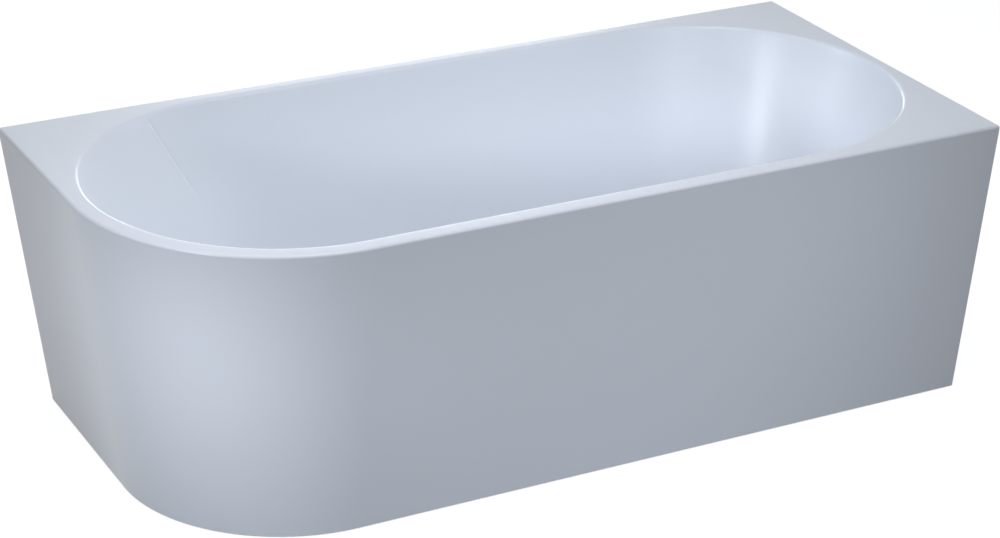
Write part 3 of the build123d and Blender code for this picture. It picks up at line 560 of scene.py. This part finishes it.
def eased(outline, ease, steps=4):
    """A closed outline with its corners rounded by parabolas, each of which starts and ends
    an ease away from its corner. A further point on each side keeps the flats flat."""
    points = np.array(outline, float)
    back, on = np.roll(points, 1, 0) - points, np.roll(points, -1, 0) - points
    back_run, on_run = np.linalg.norm(back, axis=1)[:, None], np.linalg.norm(on, axis=1)[:, None]
    cut = np.minimum(np.broadcast_to(ease, len(points))[:, None], 0.3 * np.minimum(back_run, on_run))
    start, end = points + back / back_run * cut, points + on / on_run * cut
    t = np.linspace(0, 1, steps)[:, None, None]
    bends = (1 - t) ** 2 * start + 2 * t * (1 - t) * points + t**2 * end
    guard = [points + 1.5 * (start - points), *bends, points + 1.5 * (end - points)]
    return np.array(guard).transpose(1, 0, 2).reshape(-1, 2)


def six_sided(flats, below=1.0):
    """A shape that trims radii under a limit to a hexagon of a width across its flats: at an
    angle from the middle of a side, the side is half that width over the angle's cosine."""

    def trim(radius, angle, height):
        side = flats / 2 / np.cos(np.mod(angle, np.pi / 3) - np.pi / 6)
        return np.where(radius < below, np.minimum(radius, side), radius)

    return trim


def threaded(low, high, least, pitch, depth):
    """A shape that cuts a thread between two heights into radii over a least one: a
    triangle wave that climbs one pitch a turn."""

    def cut(radius, angle, height):
        wave = np.abs(np.mod((height - low) / pitch - angle / (2 * np.pi), 1) - 0.5) * 2
        inside = (height > low) & (height < high) & (radius > least)
        return radius - np.where(inside, depth * wave, 0)

    return cut


def rod_outline(radius, low, high, step):
    """The outline of a rod with rows every step along it, for a thread to follow."""
    levels = np.arange(low, high + step / 2, step)
    return [(0, low), *[(radius, level) for level in levels], (0, high)]


def screws(name, node, seats, way, head, head_height, shank, reach, pitch, point=0):
    """Screws of one size, a shank's reach along Z from each seat, up or down by way. The head
    rises from 0.45 of its height as a quarter of an ellipse, round a six-sided socket. The
    thread starts 2 mm from the seat and takes a quarter of the shank's radius."""
    socket, bottom = head * 0.45, -head_height * 0.3
    dome = head * np.linspace(1, 0.55, 5)
    dome_height = -head_height * (0.45 + 0.55 * np.sqrt(1 - np.linspace(1, 0, 5) ** 2))
    top = [(0, 0), (head, 0), *zip(dome, dome_height), (socket, -head_height), (socket, bottom), (0, bottom)]
    rod = rod_outline(shank, -head_height * 0.2, reach - point, pitch / 5)
    rod = [*rod[:-1], (shank * 0.15, reach), (0, reach)] if point else rod
    thread = threaded(0.002, reach - point, shank * 0.5, pitch, shank * 0.25)
    grids = []
    for seat in seats:
        plane = seat, (1, 0, 0), (0, way, 0), (0, 0, way)
        grids.append(turned(plane, top, 36, six_sided(head * 0.78, head * 0.5)))
        grids.append(turned(plane, rod, 18, thread))
    stands_for(closed_mesh(name, *grids), node, *zinc_steel)


wood_head, wood_reach = screw_head_high - screw_head_low, screw_top - screw_head_high
wood_size = 0.005, wood_head, 0.0025, wood_reach, 0.0022, 0.006
screws("wood_screws", "base_board_screws", wood_seats, 1, *wood_size)

# Each foot is an M12 stud in a nut welded under a long rail, with a thin nut to lock it. A
# spanner turns the stud by its hexagon, and its pad swivels on a rubber sole.
feet = {
    f"{row}_{column}": ((x, y, 0), *upright)
    for row, y in (("front", -0.2), ("back", 0.2))
    for column, x in (("left", -0.6), ("middle", 0.02), ("right", 0.64))
}
stud, stud_end, stud_low, stud_high, stud_pitch = 0.006, 0.005, 0.006, 0.1047, 0.00175
nut_bore, nut_chamfer, nut_corner, nut_bevel = 0.00605, 0.0094, 0.0112, 0.00095
nut_flats, stud_flats, hexagon_low, hexagon_high = 0.019, 0.017, 0.022, 0.030
weld_nut_low, weld_nut_high, locknut_low = 0.0747, 0.0847, 0.0687


def nut_outline(low, high):
    """A nut's section, with both faces chamfered to a circle inside its corners."""
    side = [(nut_corner, low + nut_bevel), (nut_corner, high - nut_bevel)]
    return [(nut_bore, low), (nut_chamfer, low), *side, (nut_chamfer, high), (nut_bore, high)]


for name, node, low, high in (
    ("weld_nuts", "foot_weld_nuts", weld_nut_low, weld_nut_high),
    ("lock_nuts", "foot_locknuts", locknut_low, weld_nut_low),
):
    grids = [turned(plane, nut_outline(low, high), 72, six_sided(nut_flats)) for plane in feet.values()]
    stands_for(closed_mesh(name, *grids), node, *zinc_steel)

blacks = (0.012, 0.012, 0.012), (0.026, 0.026, 0.025)
seal_rubber = "seal_rubber", grained("black_rubber", 500, *blacks, (0.7, 0.88), 0.00008)
sole_outline = stepped(0, 0.0006, 0.007, 0, 0.014, 0.0006, 0.017, 0, 0.024, 0.002)
pad_low, pad_reach, cone_low, cone_rise = 0.002, 0.025, 0.006, 0.014
cone = [(pad_reach - rise, cone_low + rise) for rise in np.linspace(0, cone_rise, 9)]
swivel = [(nut_bore, cone_low + cone_rise), (nut_bore, cone_low), (0, cone_low)]
pad_outline = [(0, pad_low), (pad_reach, pad_low), *cone, *swivel]
web_low, web_high, web_fade, web_depth, web_inner = 0.007, 0.0185, 0.003, 0.0011, 0.01
thread_low, thread_high = stud_low + 0.001, stud_high - 0.001
rod_low, rod_high = stud_low + 0.0001, stud_high - 0.0001
rod = rod_outline(stud, thread_low, thread_high, stud_pitch / 6)
rod = [(0, rod_low), (stud_end, rod_low), *rod[1:-1], (stud_end, rod_high), (0, rod_high)]
stud_thread = threaded(thread_low, thread_high, 0.0055, stud_pitch, 0.0009)
hexagon = [(0.004, hexagon_low), (0.0085, hexagon_low), (0.0099, 0.0228), (0.0099, 0.0292)]
hexagon += [(0.0085, hexagon_high), (0.004, hexagon_high)]


def webbed(radius, angle, height):
    """Shallow hollows between twelve webs on the pad's cone: their depth follows the square of
    a sine round the pad, and fades out towards both ends of the cone."""
    share = within(height, web_low, web_high, web_fade, web_fade) * (radius > web_inner)
    return radius - web_depth * share * np.sin(6 * angle) ** 2


def lathed(name, node, slot, paint, plane, outline, columns=96, shape=None, body="bath"):
    """A piece of one outline, turned about a plane's Z axis, takes a CAD piece's place."""
    stands_for(closed_mesh(name, turned(plane, outline, columns, shape)), node, slot, paint, body)


for foot, plane in feet.items():
    sole = f"sole_{foot}", f"foot_sole_{foot}", *seal_rubber
    lathed(*sole, plane, eased(sole_outline, 0.0003), 72, body=f"{foot}_foot")
    pad = f"pad_{foot}", f"foot_pad_{foot}", "black_plastic", nylon
    lathed(*pad, plane, eased(pad_outline, 0.0008), 96, webbed, f"{foot}_foot")
    spanner_grid = turned(plane, hexagon, 72, six_sided(stud_flats))
    foot_stud = closed_mesh(f"stud_{foot}", turned(plane, rod, 32, stud_thread), spanner_grid)
    stands_for(foot_stud, f"foot_stud_{foot}", *zinc_steel, f"{foot}_stud")

# Three folded steel brackets tie the frame to the skirt, and hold its foot in line. Their
# button-head screws go down into the rails.
dress(powder_coat, *[f"skirt_bracket_{place}" for place in ("room_middle", "room_right", "backrest")])
room_seats = [(x, y, 0.1372) for x in (0.1, 0.58) for y in (-0.286, -0.260)]
backrest_seats = [(x, 0.2, 0.1122) for x in (-0.746, -0.720)]
button_size = 0.0055, 0.0025, 0.003, 0.0085, 0.001
screws("button_screws", "bracket_screws", room_seats + backrest_seats, -1, *button_size)

# The click-clack waste is chromed brass. Its flange lies in the seat of the floor on a thin
# gasket, and its tail goes down through the floor with three spokes that hold the works.
waste_axis = (waste_x, 0, 0), *upright
silvers = (0.78, 0.79, 0.80), (0.86, 0.87, 0.88)
chrome_trim = "chrome_trim", grained("polished_chrome", 14, *silvers, (0.05, 0.11), 0.00001, 1, 5)
flange_low, flange_top, tail_low, boss_top = 0.1585, 0.1608, 0.136, 0.141
dish, throat, tail, shoulder, flange, gasket_bore = 0.027, 0.0215, 0.0239, 0.0257, 0.036, 0.026
upper_flange = [(dish, flange_top), (flange, flange_top), (flange, flange_low), (shoulder, flange_low)]
lower_tail = [(shoulder, 0.1537), (tail, 0.1514), (tail, tail_low), (throat, tail_low), (throat, 0.156)]
boss_bore, boss, spoke_reach, spoke_half = 0.00605, 0.009, 0.0227, 0.0025


def spoked(radius, angle, height):
    """A boss whose three parallel-sided spokes reach out to the tail's wall: at an angle off a
    spoke's middle, its side is half its width over the angle's sine from the axis."""
    off = np.mod(angle + np.pi / 3, 2 * np.pi / 3) - np.pi / 3
    reach = np.clip(spoke_half / np.maximum(np.abs(np.sin(off)), 1e-4), boss, spoke_reach)
    return np.where(radius > boss_bore, reach, radius)


upper_gasket = eased(stepped(gasket_bore, 0.1575, flange, flange_low), 0.0003)
lathed("waste_upper_gasket_ring", "waste_upper_gasket", *seal_rubber, waste_axis, upper_gasket)
flange_piece = closed_mesh(
    "waste_flange_ring",
    turned(waste_axis, eased(upper_flange + lower_tail, 0.0007, 5), 128),
    turned(waste_axis, stepped(boss_bore, tail_low, boss, boss_top), 216, spoked),
)
stands_for(flange_piece, "waste_flange", *chrome_trim)

# The works are turned brass: a cartridge screwed into the boss, a spring in it, and a stem
# that carries the chromed cap with its rubber seal. A push frees the cap, and it rises.
yellows, turning_marks = ((0.60, 0.44, 0.17), (0.78, 0.60, 0.29)), (30, 30, 2600)
turned_brass = grained("turned_brass", 1, *yellows, (0.22, 0.36), 0.00003, 1, 2, turning_marks)
brass_works = "brass_works", turned_brass
stem_bore, stem, stem_low, plug_bottom = 0.00405, 0.004, 0.138, 0.1571
cartridge = stepped(0, 0.128, 0.006, boss_top, 0.0085, 0.144, 0.006, 0.151, stem_bore, 0.130)
cartridge = eased(cartridge, 0.0003)
lathed("brass_cartridge", "plug_cartridge", *brass_works, waste_axis, cartridge, 64)
cap_low, cap_edge, cap_top, cap_reach, hub = 0.1611, 0.1629, 0.1653, 0.031, 0.0209
stem_outline = eased(stepped(0, stem_low, stem, cap_low), 0.0003)
lathed("brass_stem", "plug_stem", *brass_works, waste_axis, stem_outline, 48, body="plug")
dress(zinc, "plug_spring")
crown = [(r, cap_top - (cap_top - cap_edge) * (r / cap_reach) ** 2) for r in np.linspace(0.0295, 0, 14)]
rim_corners = eased([(hub, cap_low), (cap_reach, cap_low), (cap_reach, cap_edge), crown[0]], 0.0006, 5)
rim_corners = rim_corners[: len(rim_corners) // 2]
underneath = [(0, cap_low), (stem_bore, cap_low), (stem_bore, plug_bottom), (hub, plug_bottom)]
cap_outline = [*rim_corners, *crown[1:], *underneath]
lathed("plug_cap_dome", "plug_cap", *chrome_trim, waste_axis, cap_outline, 128, body="plug")
seal_reach, seal_level, seal_round = 0.0224, 0.159175, 0.0015
a = np.linspace(0, 2 * np.pi, 24, endpoint=False)
seal_outline = np.column_stack([seal_reach + seal_round * np.cos(a), seal_level + seal_round * np.sin(a)])
lathed("plug_seal_ring", "plug_seal", *seal_rubber, waste_axis, seal_outline, 128, body="plug")

# Under the floor a white polypropylene tee clamps the waste against a thick gasket. Its side
# stub takes the overflow hose, and its dip tube reaches down into the water of the trap.
whites = (0.74, 0.74, 0.715), (0.79, 0.79, 0.77)
white_plastic = "white_plastic", grained("white_polypropylene", 240, *whites, (0.34, 0.46), 0.00004)
hose_level, stub_hole, stub_bore, stub_outer, stub_end = 0.13085, 0.00745, 0.0075, 0.0095, 0.062


def branched(name, plane, body, branch, tube, bore):
    """A body turned about one plane's axis with a tube turned about another's. The tube starts
    inside the body's wall, and its bore goes through that wall from the tube's axis origin."""
    barrel = closed_mesh("barrel", turned(plane, body, 128))
    pierced = bored(barrel, turned(branch, stepped(0, 0, bore, tube[0][1] + 0.006), 64))
    spout = closed_mesh("spout", turned(branch, tube, 64))
    piece = placed(name, pierced.data, spout.data)
    for done in (pierced, spout):
        bpy.data.objects.remove(done)
    return piece


lower_gasket = eased(stepped(gasket_bore, 0.1477, flange, 0.1507), 0.0006)
lathed("waste_lower_gasket_ring", "waste_lower_gasket", *seal_rubber, waste_axis, lower_gasket)
stub_axis = (waste_x, 0, hose_level), (1, 0, 0), (0, 0, 1), (0, -1, 0)
tee_outline = stepped(
    0.02395, 0.1477, flange, 0.1437, 0.028, 0.118, 0.032, 0.1095, 0.0235, 0.038, 0.0205, 0.1125
)
tee_stub = stepped(stub_bore, 0.0252, stub_outer, stub_end)
tee = branched("tee_body", waste_axis, eased(tee_outline, 0.0006), stub_axis, tee_stub, stub_hole)
stands_for(tee, "waste_tee", *white_plastic)

# The trap is a cup round the dip tube, with a branch for the house pipe. Two ribbed nuts
# draw it up against rubber washers by hand, so it can be taken off and rinsed.
branch_axis = (waste_x, 0, 0.076), (0, 1, 0), (0, 0, 1), (1, 0, 0)
union_outer, outlet_outer, grip_high, grip_flank = 0.03705, 0.02905, 0.001, 0.0011


def ribbed(outer):
    """Twelve grip ribs on the outside of a nut. Each has its full height to 0.6 of a flank
    either side of its middle, and falls off evenly over the flank beyond."""

    def rib(radius, angle, height):
        off = np.abs(np.mod(angle + np.pi / 12, np.pi / 6) - np.pi / 12) * outer
        high = grip_high * np.clip(1.6 - off / grip_flank, 0, 1)
        return radius + np.where(radius > outer - 0.0012, high, 0)

    return rib


cup_outline = stepped(
    0, 0.024, 0.048, 0.100, 0.0275, 0.104, 0.0318, 0.1075, 0.0243, 0.097, 0.045, 0.027
)
cup_eases = 0, 0.003, 0.002, 0.001, 0.0005, 0.0005, 0.0005, 0.0005, 0.001, 0.001, 0.002, 0
cup_outline = eased(cup_outline, cup_eases)
spout_outline = stepped(0.017, 0.0402, 0.024, 0.080, 0.0202, 0.052)
cup = branched("trap_cup_body", waste_axis, cup_outline, branch_axis, spout_outline, 0.0169)
stands_for(cup, "trap_cup", *white_plastic)
union_nut = stepped(0.0278, 0.1006, union_outer, 0.118, 0.03205, 0.104)
outlet_nut = stepped(0.02405, 0.062, outlet_outer, 0.0874, 0.0206, 0.084)
union_washer = stepped(0.0243, 0.1075, 0.0318, 0.1095)
outlet_washer = stepped(0.0202, 0.080, 0.0236, 0.084)
for name, node, plane, nut, outer in (
    ("union_nut", "trap_union_nut", waste_axis, union_nut, union_outer),
    ("outlet_nut", "trap_outlet_nut", branch_axis, outlet_nut, outlet_outer),
):
    lathed(name, node, *white_plastic, plane, eased(nut, 0.001), 240, ribbed(outer))
for name, node, plane, washer in (
    ("trap_washer_ring", "trap_washer", waste_axis, union_washer),
    ("outlet_washer_ring", "trap_outlet_washer", branch_axis, outlet_washer),
):
    lathed(name, node, *seal_rubber, plane, eased(washer, 0.0004))

# The overflow is an elbow outside the wall, drawn against a rubber gasket by a long screw
# through the chromed cover inside the basin. The cover's mouth is at its lower side.
overflow_gasket = eased(stepped(0.0245, sheet, 0.033, 0.0085), 0.0005)
lathed("overflow_gasket_ring", "overflow_gasket", *seal_rubber, overflow_plane, overflow_gasket)
screw_hole = 0.00255
elbow_outline = stepped(
    0.024, 0.0085, 0.033, 0.0115, 0.027, 0.038, 0, 0.028, screw_hole, 0.013, 0.005, 0.035
)
elbow_eases = 0.0005, 0.0008, 0.0008, 0.001, 0.003, 0, 0, 0.0002, 0.0003, 0.0005, 0.0005, 0.001
elbow_outline = eased(elbow_outline, elbow_eases)
down_wall = -up_wall
elbow_axis = overflow_point + 0.0235 * through_wall, (1, 0, 0), through_wall, down_wall
elbow_stub = stepped(stub_bore, 0.0245, stub_outer, stub_end)
elbow = branched(
    "overflow_elbow_body", overflow_plane, elbow_outline, elbow_axis, elbow_stub, stub_hole
)
stands_for(elbow, "overflow_elbow", *white_plastic)
cover_top, cover_outer, mouth_half, mouth_deep = -0.012, 0.035, 0.0175, 0.020
cover_eases = 0.0004, 0.0016, 0.0005, 0.0005, 0.001, 0.0003
cover_outline = eased(stepped(screw_hole, cover_top, cover_outer, 0, 0.033, -0.009), cover_eases, 6)
cover_skin = closed_mesh("overflow_cover_cap", turned(overflow_plane, cover_outline, 128))
mouth_corner = np.arctan2(mouth_half, mouth_deep)
mouth_angles = np.array([mouth_corner, np.pi - mouth_corner, np.pi + mouth_corner, -mouth_corner])
below_cover = overflow_point - cover_outer * up_wall, *overflow_plane[1:]
mouth_block = stepped(0, -0.009, np.hypot(mouth_half, mouth_deep), 0.003)
cover = bored(cover_skin, turned(below_cover, mouth_block, mouth_angles))
stands_for(cover, "overflow_cover", *chrome_trim)
screw_recess = [(0, -0.0132), (0.0018, -0.0132), (0.0018, -0.0145), (0.0035, -0.0145)]
screw_head = [(0.0045, -0.0137), (0.0045, cover_top), (0.0025, cover_top)]
screw_outline = eased([*screw_recess, *screw_head, (0.0025, 0.02795), (0, 0.02795)], 0.0003)
lathed("cover_screw", "overflow_screw", *chrome_trim, overflow_plane, screw_outline, 48)

# A corrugated grey hose carries the overflow down beside the basin and under it to the tee.
# Its smooth cuffs push over the two stubs, and each is held by a stainless clip.
hose_bore, hose_outer, hose_bend = 0.0097, 0.0122, 0.070
cuff, rib_pitch, rib_depth, rib_fade = 0.022, 0.0042, 0.0011, 0.004
hose_start = elbow_axis[0] + 0.044 * down_wall
hose_end = np.array([waste_x, -0.044, hose_level])


def hose_run(count):
    """Points, headings and lengths along the hose: a straight down the wall, an arc of the
    bend's radius that turns it level, and a straight to the tee. The arc starts its radius
    times the tangent of half its turn before the corner where the two straights would meet."""
    corner = hose_start + down_wall * (hose_start[2] - hose_level) / -down_wall[2]
    level_way = np.array([0, 1, 0])
    turn = np.arccos(down_wall @ level_way)
    tangent = hose_bend * np.tan(turn / 2)
    first = np.linalg.norm(corner - hose_start) - tangent
    last = np.linalg.norm(hose_end - corner) - tangent
    along = np.linspace(0, first + hose_bend * turn + last, count)
    swing = np.clip((along - first) / hose_bend, 0, turn)
    square = level_way - (level_way @ down_wall) * down_wall
    square /= np.linalg.norm(square)
    heading = np.cos(swing)[:, None] * down_wall + np.sin(swing)[:, None] * square
    arc = np.sin(swing)[:, None] * down_wall + (1 - np.cos(swing))[:, None] * square
    before = np.minimum(along, first)[:, None] * down_wall
    after = np.maximum(along - first - hose_bend * turn, 0)[:, None] * heading
    return hose_start + before + hose_bend * arc + after, heading, along


path, heading, along = hose_run(720)
side_way = np.array([1.0, 0, 0])
around = np.linspace(0, 2 * np.pi, 40, endpoint=False)
ribs = within(along, cuff, along[-1] - cuff, rib_fade, rib_fade)
outer_radius = hose_outer - rib_depth * ribs * np.sin(np.pi * along / rib_pitch) ** 2
across_way = np.cross(side_way, heading)


def hose_rows(radius):
    """Circles of each row's radius, square to the path."""
    spokes = np.cos(around)[:, None] * side_way + np.sin(around)[:, None] * across_way[:, None]
    return path[:, None] + np.reshape(radius, (-1, 1, 1)) * spokes


hose_grid = np.concatenate([hose_rows(outer_radius)[::-1], hose_rows(np.full(len(path), hose_bore))])
hose = closed_mesh("overflow_hose_tube", hose_grid)
greys = (0.42, 0.44, 0.45), (0.50, 0.52, 0.53)
grey_hose = grained("grey_soft_plastic", 160, *greys, (0.36, 0.5), 0.00005)
stands_for(hose, "overflow_hose", "hose_plastic", grey_hose)
steels, brushed = ((0.50, 0.50, 0.51), (0.66, 0.66, 0.67)), (900, 40, 40)
stainless = grained("brushed_stainless", 1, *steels, (0.22, 0.34), 0.00002, 1, 2, brushed)
clip_copy = placed("hose_clip_pair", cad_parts["hose_clips"].data)
stands_for(clip_copy, "hose_clips", "clip_steel", stainless)

# The skirt is a second acrylic sheet, bent round the room side, the curved corner and the
# backrest end. It leans in towards the floor, turns a short way along each wall and has a
# flange along the floor that stiffens it.
skirt_low, skirt_wall, skirt_lean = 0.003, 0.005, 0.074
skirt_flange, skirt_end_x, skirt_end_y = 0.025, -0.741, -0.291


def skirt_stretch(count, first_facing, last_facing):
    """Columns of one stretch of the skirt: a share t along it and the angle it faces."""
    t = np.linspace(0, 1, count, endpoint=False)
    return np.column_stack([t, first_facing + t * (last_facing - first_facing)])


foot_return = skirt_stretch(12, 0, 0)
foot_corner = skirt_stretch(6, 0, -90)
room_side = skirt_stretch(90, -90, -90)
backrest_bend = skirt_stretch(112, -90, -180)
backrest_end = skirt_stretch(48, -180, -180)
wall_corner = skirt_stretch(6, -180, -270)
wall_return = np.append(skirt_stretch(12, -270, -270), [[1, -270]], 0)


def skirt_row(height, inside):
    """One row of the skirt at a height, a wall's distance inside its outer face: every
    column runs evenly between the corner points of its stretch, and the two corners and the
    bend are arcs."""
    lean = skirt_lean * (skirt_top - height) / (skirt_top - skirt_low)
    turn = max(corner_edge - inside, 0.0003)
    x_low, y_low = -half_length + lean + inside, -half_width + lean + inside
    x_high, y_high = half_length - min(inside, skirt_wall), half_width - min(inside, skirt_wall)

    def line(columns, start, end):
        t = columns[:, :1]
        return np.array(start) * (1 - t) + np.array(end) * t

    def arc(columns, centre, radius):
        a = np.radians(columns[:, 1])
        return np.array(centre) + radius * np.column_stack([np.cos(a), np.sin(a)])

    plan = [
        line(foot_return, (x_high, skirt_end_y), (x_high, y_low + turn)),
        arc(foot_corner, (x_high - turn, y_low + turn), turn),
        line(room_side, (x_high - turn, y_low), (backrest_centre, y_low)),
        arc(backrest_bend, (backrest_centre, 0), half_width - lean - inside),
        line(backrest_end, (x_low, 0), (x_low, y_high - turn)),
        arc(wall_corner, (x_low + turn, y_high - turn), turn),
        line(wall_return, (x_low + turn, y_high), (skirt_end_x, y_high)),
    ]
    return level(np.vstack(plan), height)


flange_edge = skirt_wall + skirt_flange
skirt_rows = [
    *[skirt_row(z, 0) for z in np.linspace(skirt_low, skirt_top, 13)],
    *[skirt_row(z, skirt_wall) for z in np.linspace(skirt_top, skirt_low + skirt_wall, 13)],
    skirt_row(skirt_low + skirt_wall, flange_edge),
    skirt_row(skirt_low, flange_edge),
]
grid = np.array(skirt_rows)
count, columns = grid.shape[:2]
i, j = np.meshgrid(np.arange(count), np.arange(columns - 1), indexing="ij")
up = (i + 1) % count
faces = np.stack([i * columns + j, i * columns + j + 1, up * columns + j + 1, up * columns + j], -1)
first_end, last_end = np.arange(count) * columns, np.arange(count)[::-1] * columns + columns - 1
skirt_mesh = bpy.data.meshes.new("skirt_acrylic")
skirt_faces = [*faces.reshape(-1, 4).tolist(), first_end.tolist(), last_end.tolist()]
skirt_mesh.from_pydata(grid.reshape(-1, 3), [], skirt_faces)
skirt_mesh.shade_smooth()
skirt_mesh.set_sharp_from_angle(angle=0.7)
skirt = set_down("skirt_acrylic", skirt_mesh)
stands_for(skirt, "outer_skirt", "bath_acrylic", white_acrylic)

# The bath stands on a pale studio floor in a white room. To the camera and to mirrors both
# are white, with the bath's shadow kept on the floor, and their light on the bath is softer.
floor_mesh = bpy.data.meshes.new("studio_floor")
floor_mesh.from_pydata([(-30, -30, 0), (30, -30, 0), (30, 30, 0), (-30, 30, 0)], [], [(0, 1, 2, 3)])
floor = set_down("studio_floor", floor_mesh)
cool_white, white, floor_glow = (0.955, 1, 1.08), (1, 1, 1, 1), 0.87


def seen_plainly(tree):
    """1 for camera, mirror and glass rays, and 0 for the light that reaches the bath."""
    seen = added(tree, "LightPath", {}, "Is Camera Ray")
    rays = seen.node.outputs
    for other in ("Is Glossy Ray", "Is Transmission Ray"):
        seen = worked(tree, "MAXIMUM", seen, rays[other])
    return seen


floor_paint = bpy.data.materials.new("floor_paint")
floor_paint.use_nodes = True
tree = floor_paint.node_tree
feeds = {
    "Base Color": (0.42, 0.425, 0.44, 1),
    "Roughness": 0.9,
    "Specular IOR Level": 0.1,
    "Emission Color": white,
    "Emission Strength": worked(tree, "MULTIPLY", seen_plainly(tree), floor_glow),
}
feed(tree, tree.nodes["Principled BSDF"], feeds)
floor.data.materials.append(floor_paint)

world = bpy.data.worlds.new("studio")
bpy.context.scene.world = world
world.use_nodes = True
tree = world.node_tree
room = tree.nodes["Background"]
feed(tree, room, {"Color": (*cool_white, 1), "Strength": 0.22})
shown = added(tree, "Background", {"Color": white, "Strength": 1})
feeds = {"Fac": seen_plainly(tree), 1: room.outputs[0], 2: shown}
feed(tree, tree.nodes["World Output"], {"Surface": added(tree, "MixShader", feeds)})


def lamp(name, kind, place, target, power):
    """A cool white lamp of a kind at a place, facing a target."""
    light = bpy.data.lights.new(name, kind)
    light.energy, light.color = power, cool_white
    stand = set_down(name, light)
    stand.location = place
    stand.rotation_euler = (Vector(target) - Vector(place)).to_track_quat("-Z", "Y").to_euler()
    return light


top_softbox = lamp("top_softbox", "AREA", (-0.75, 0, 3.3), (-0.75, 0.001, 0.3), 16.8)
top_softbox.size = 2.0
front_softbox = lamp("front_softbox", "AREA", (-0.3, -1.4, 3.2), (0.0, 0.1, 0.35), 5.1)
front_softbox.size, front_softbox.spread = 1.4, np.radians(70)
wall_softbox = lamp("wall_softbox", "AREA", (1.4, 3.5, 0.7), (0.0, 0.3, 0.3), 6)
wall_softbox.size, wall_softbox.spread = 1.4, np.radians(80)
for name, place, target, power, angle in (
    ("corner_spot", (-3.7233, -1.7362, 1.1732), (-0.62, -0.25, 0.35), 312, 16),
    ("skirt_spot", (-0.344, -3.9317, 1.7365), (0.1, -0.3, 0.45), 52, 22),
    ("foot_spot", (0.661, -3.7487, 2.075), (0.5, -0.35, 0.45), 72, 16),
    ("basin_end_spot", (-2.4, 1.6, 1.4), (0.78, 0.0, 0.42), 130, 15),
    ("backrest_spot", (2.6, -1.0, 2.4), (-0.74, 0.0, 0.48), 158, 14),
):
    spot = lamp(name, "SPOT", place, target, power)
    spot.spot_size, spot.spot_blend, spot.shadow_soft_size = np.radians(angle), 1, 0.35

# The camera has the photograph's viewpoint, fitted to the bath's corners and edges: high on
# the room side, a little to the left of the bath, with a long lens.
camera = bpy.data.cameras.new("camera")
camera.lens, camera.sensor_width = 100.712, 36
tripod = set_down("camera", camera)
tripod.location = (-2.27447, -4.31686, 2.50492)
tripod.rotation_euler = np.radians([65.5958, -0.7706, -27.4177])
bpy.context.scene.camera = tripod
bpy.context.scene.view_settings.view_transform = "Standard"
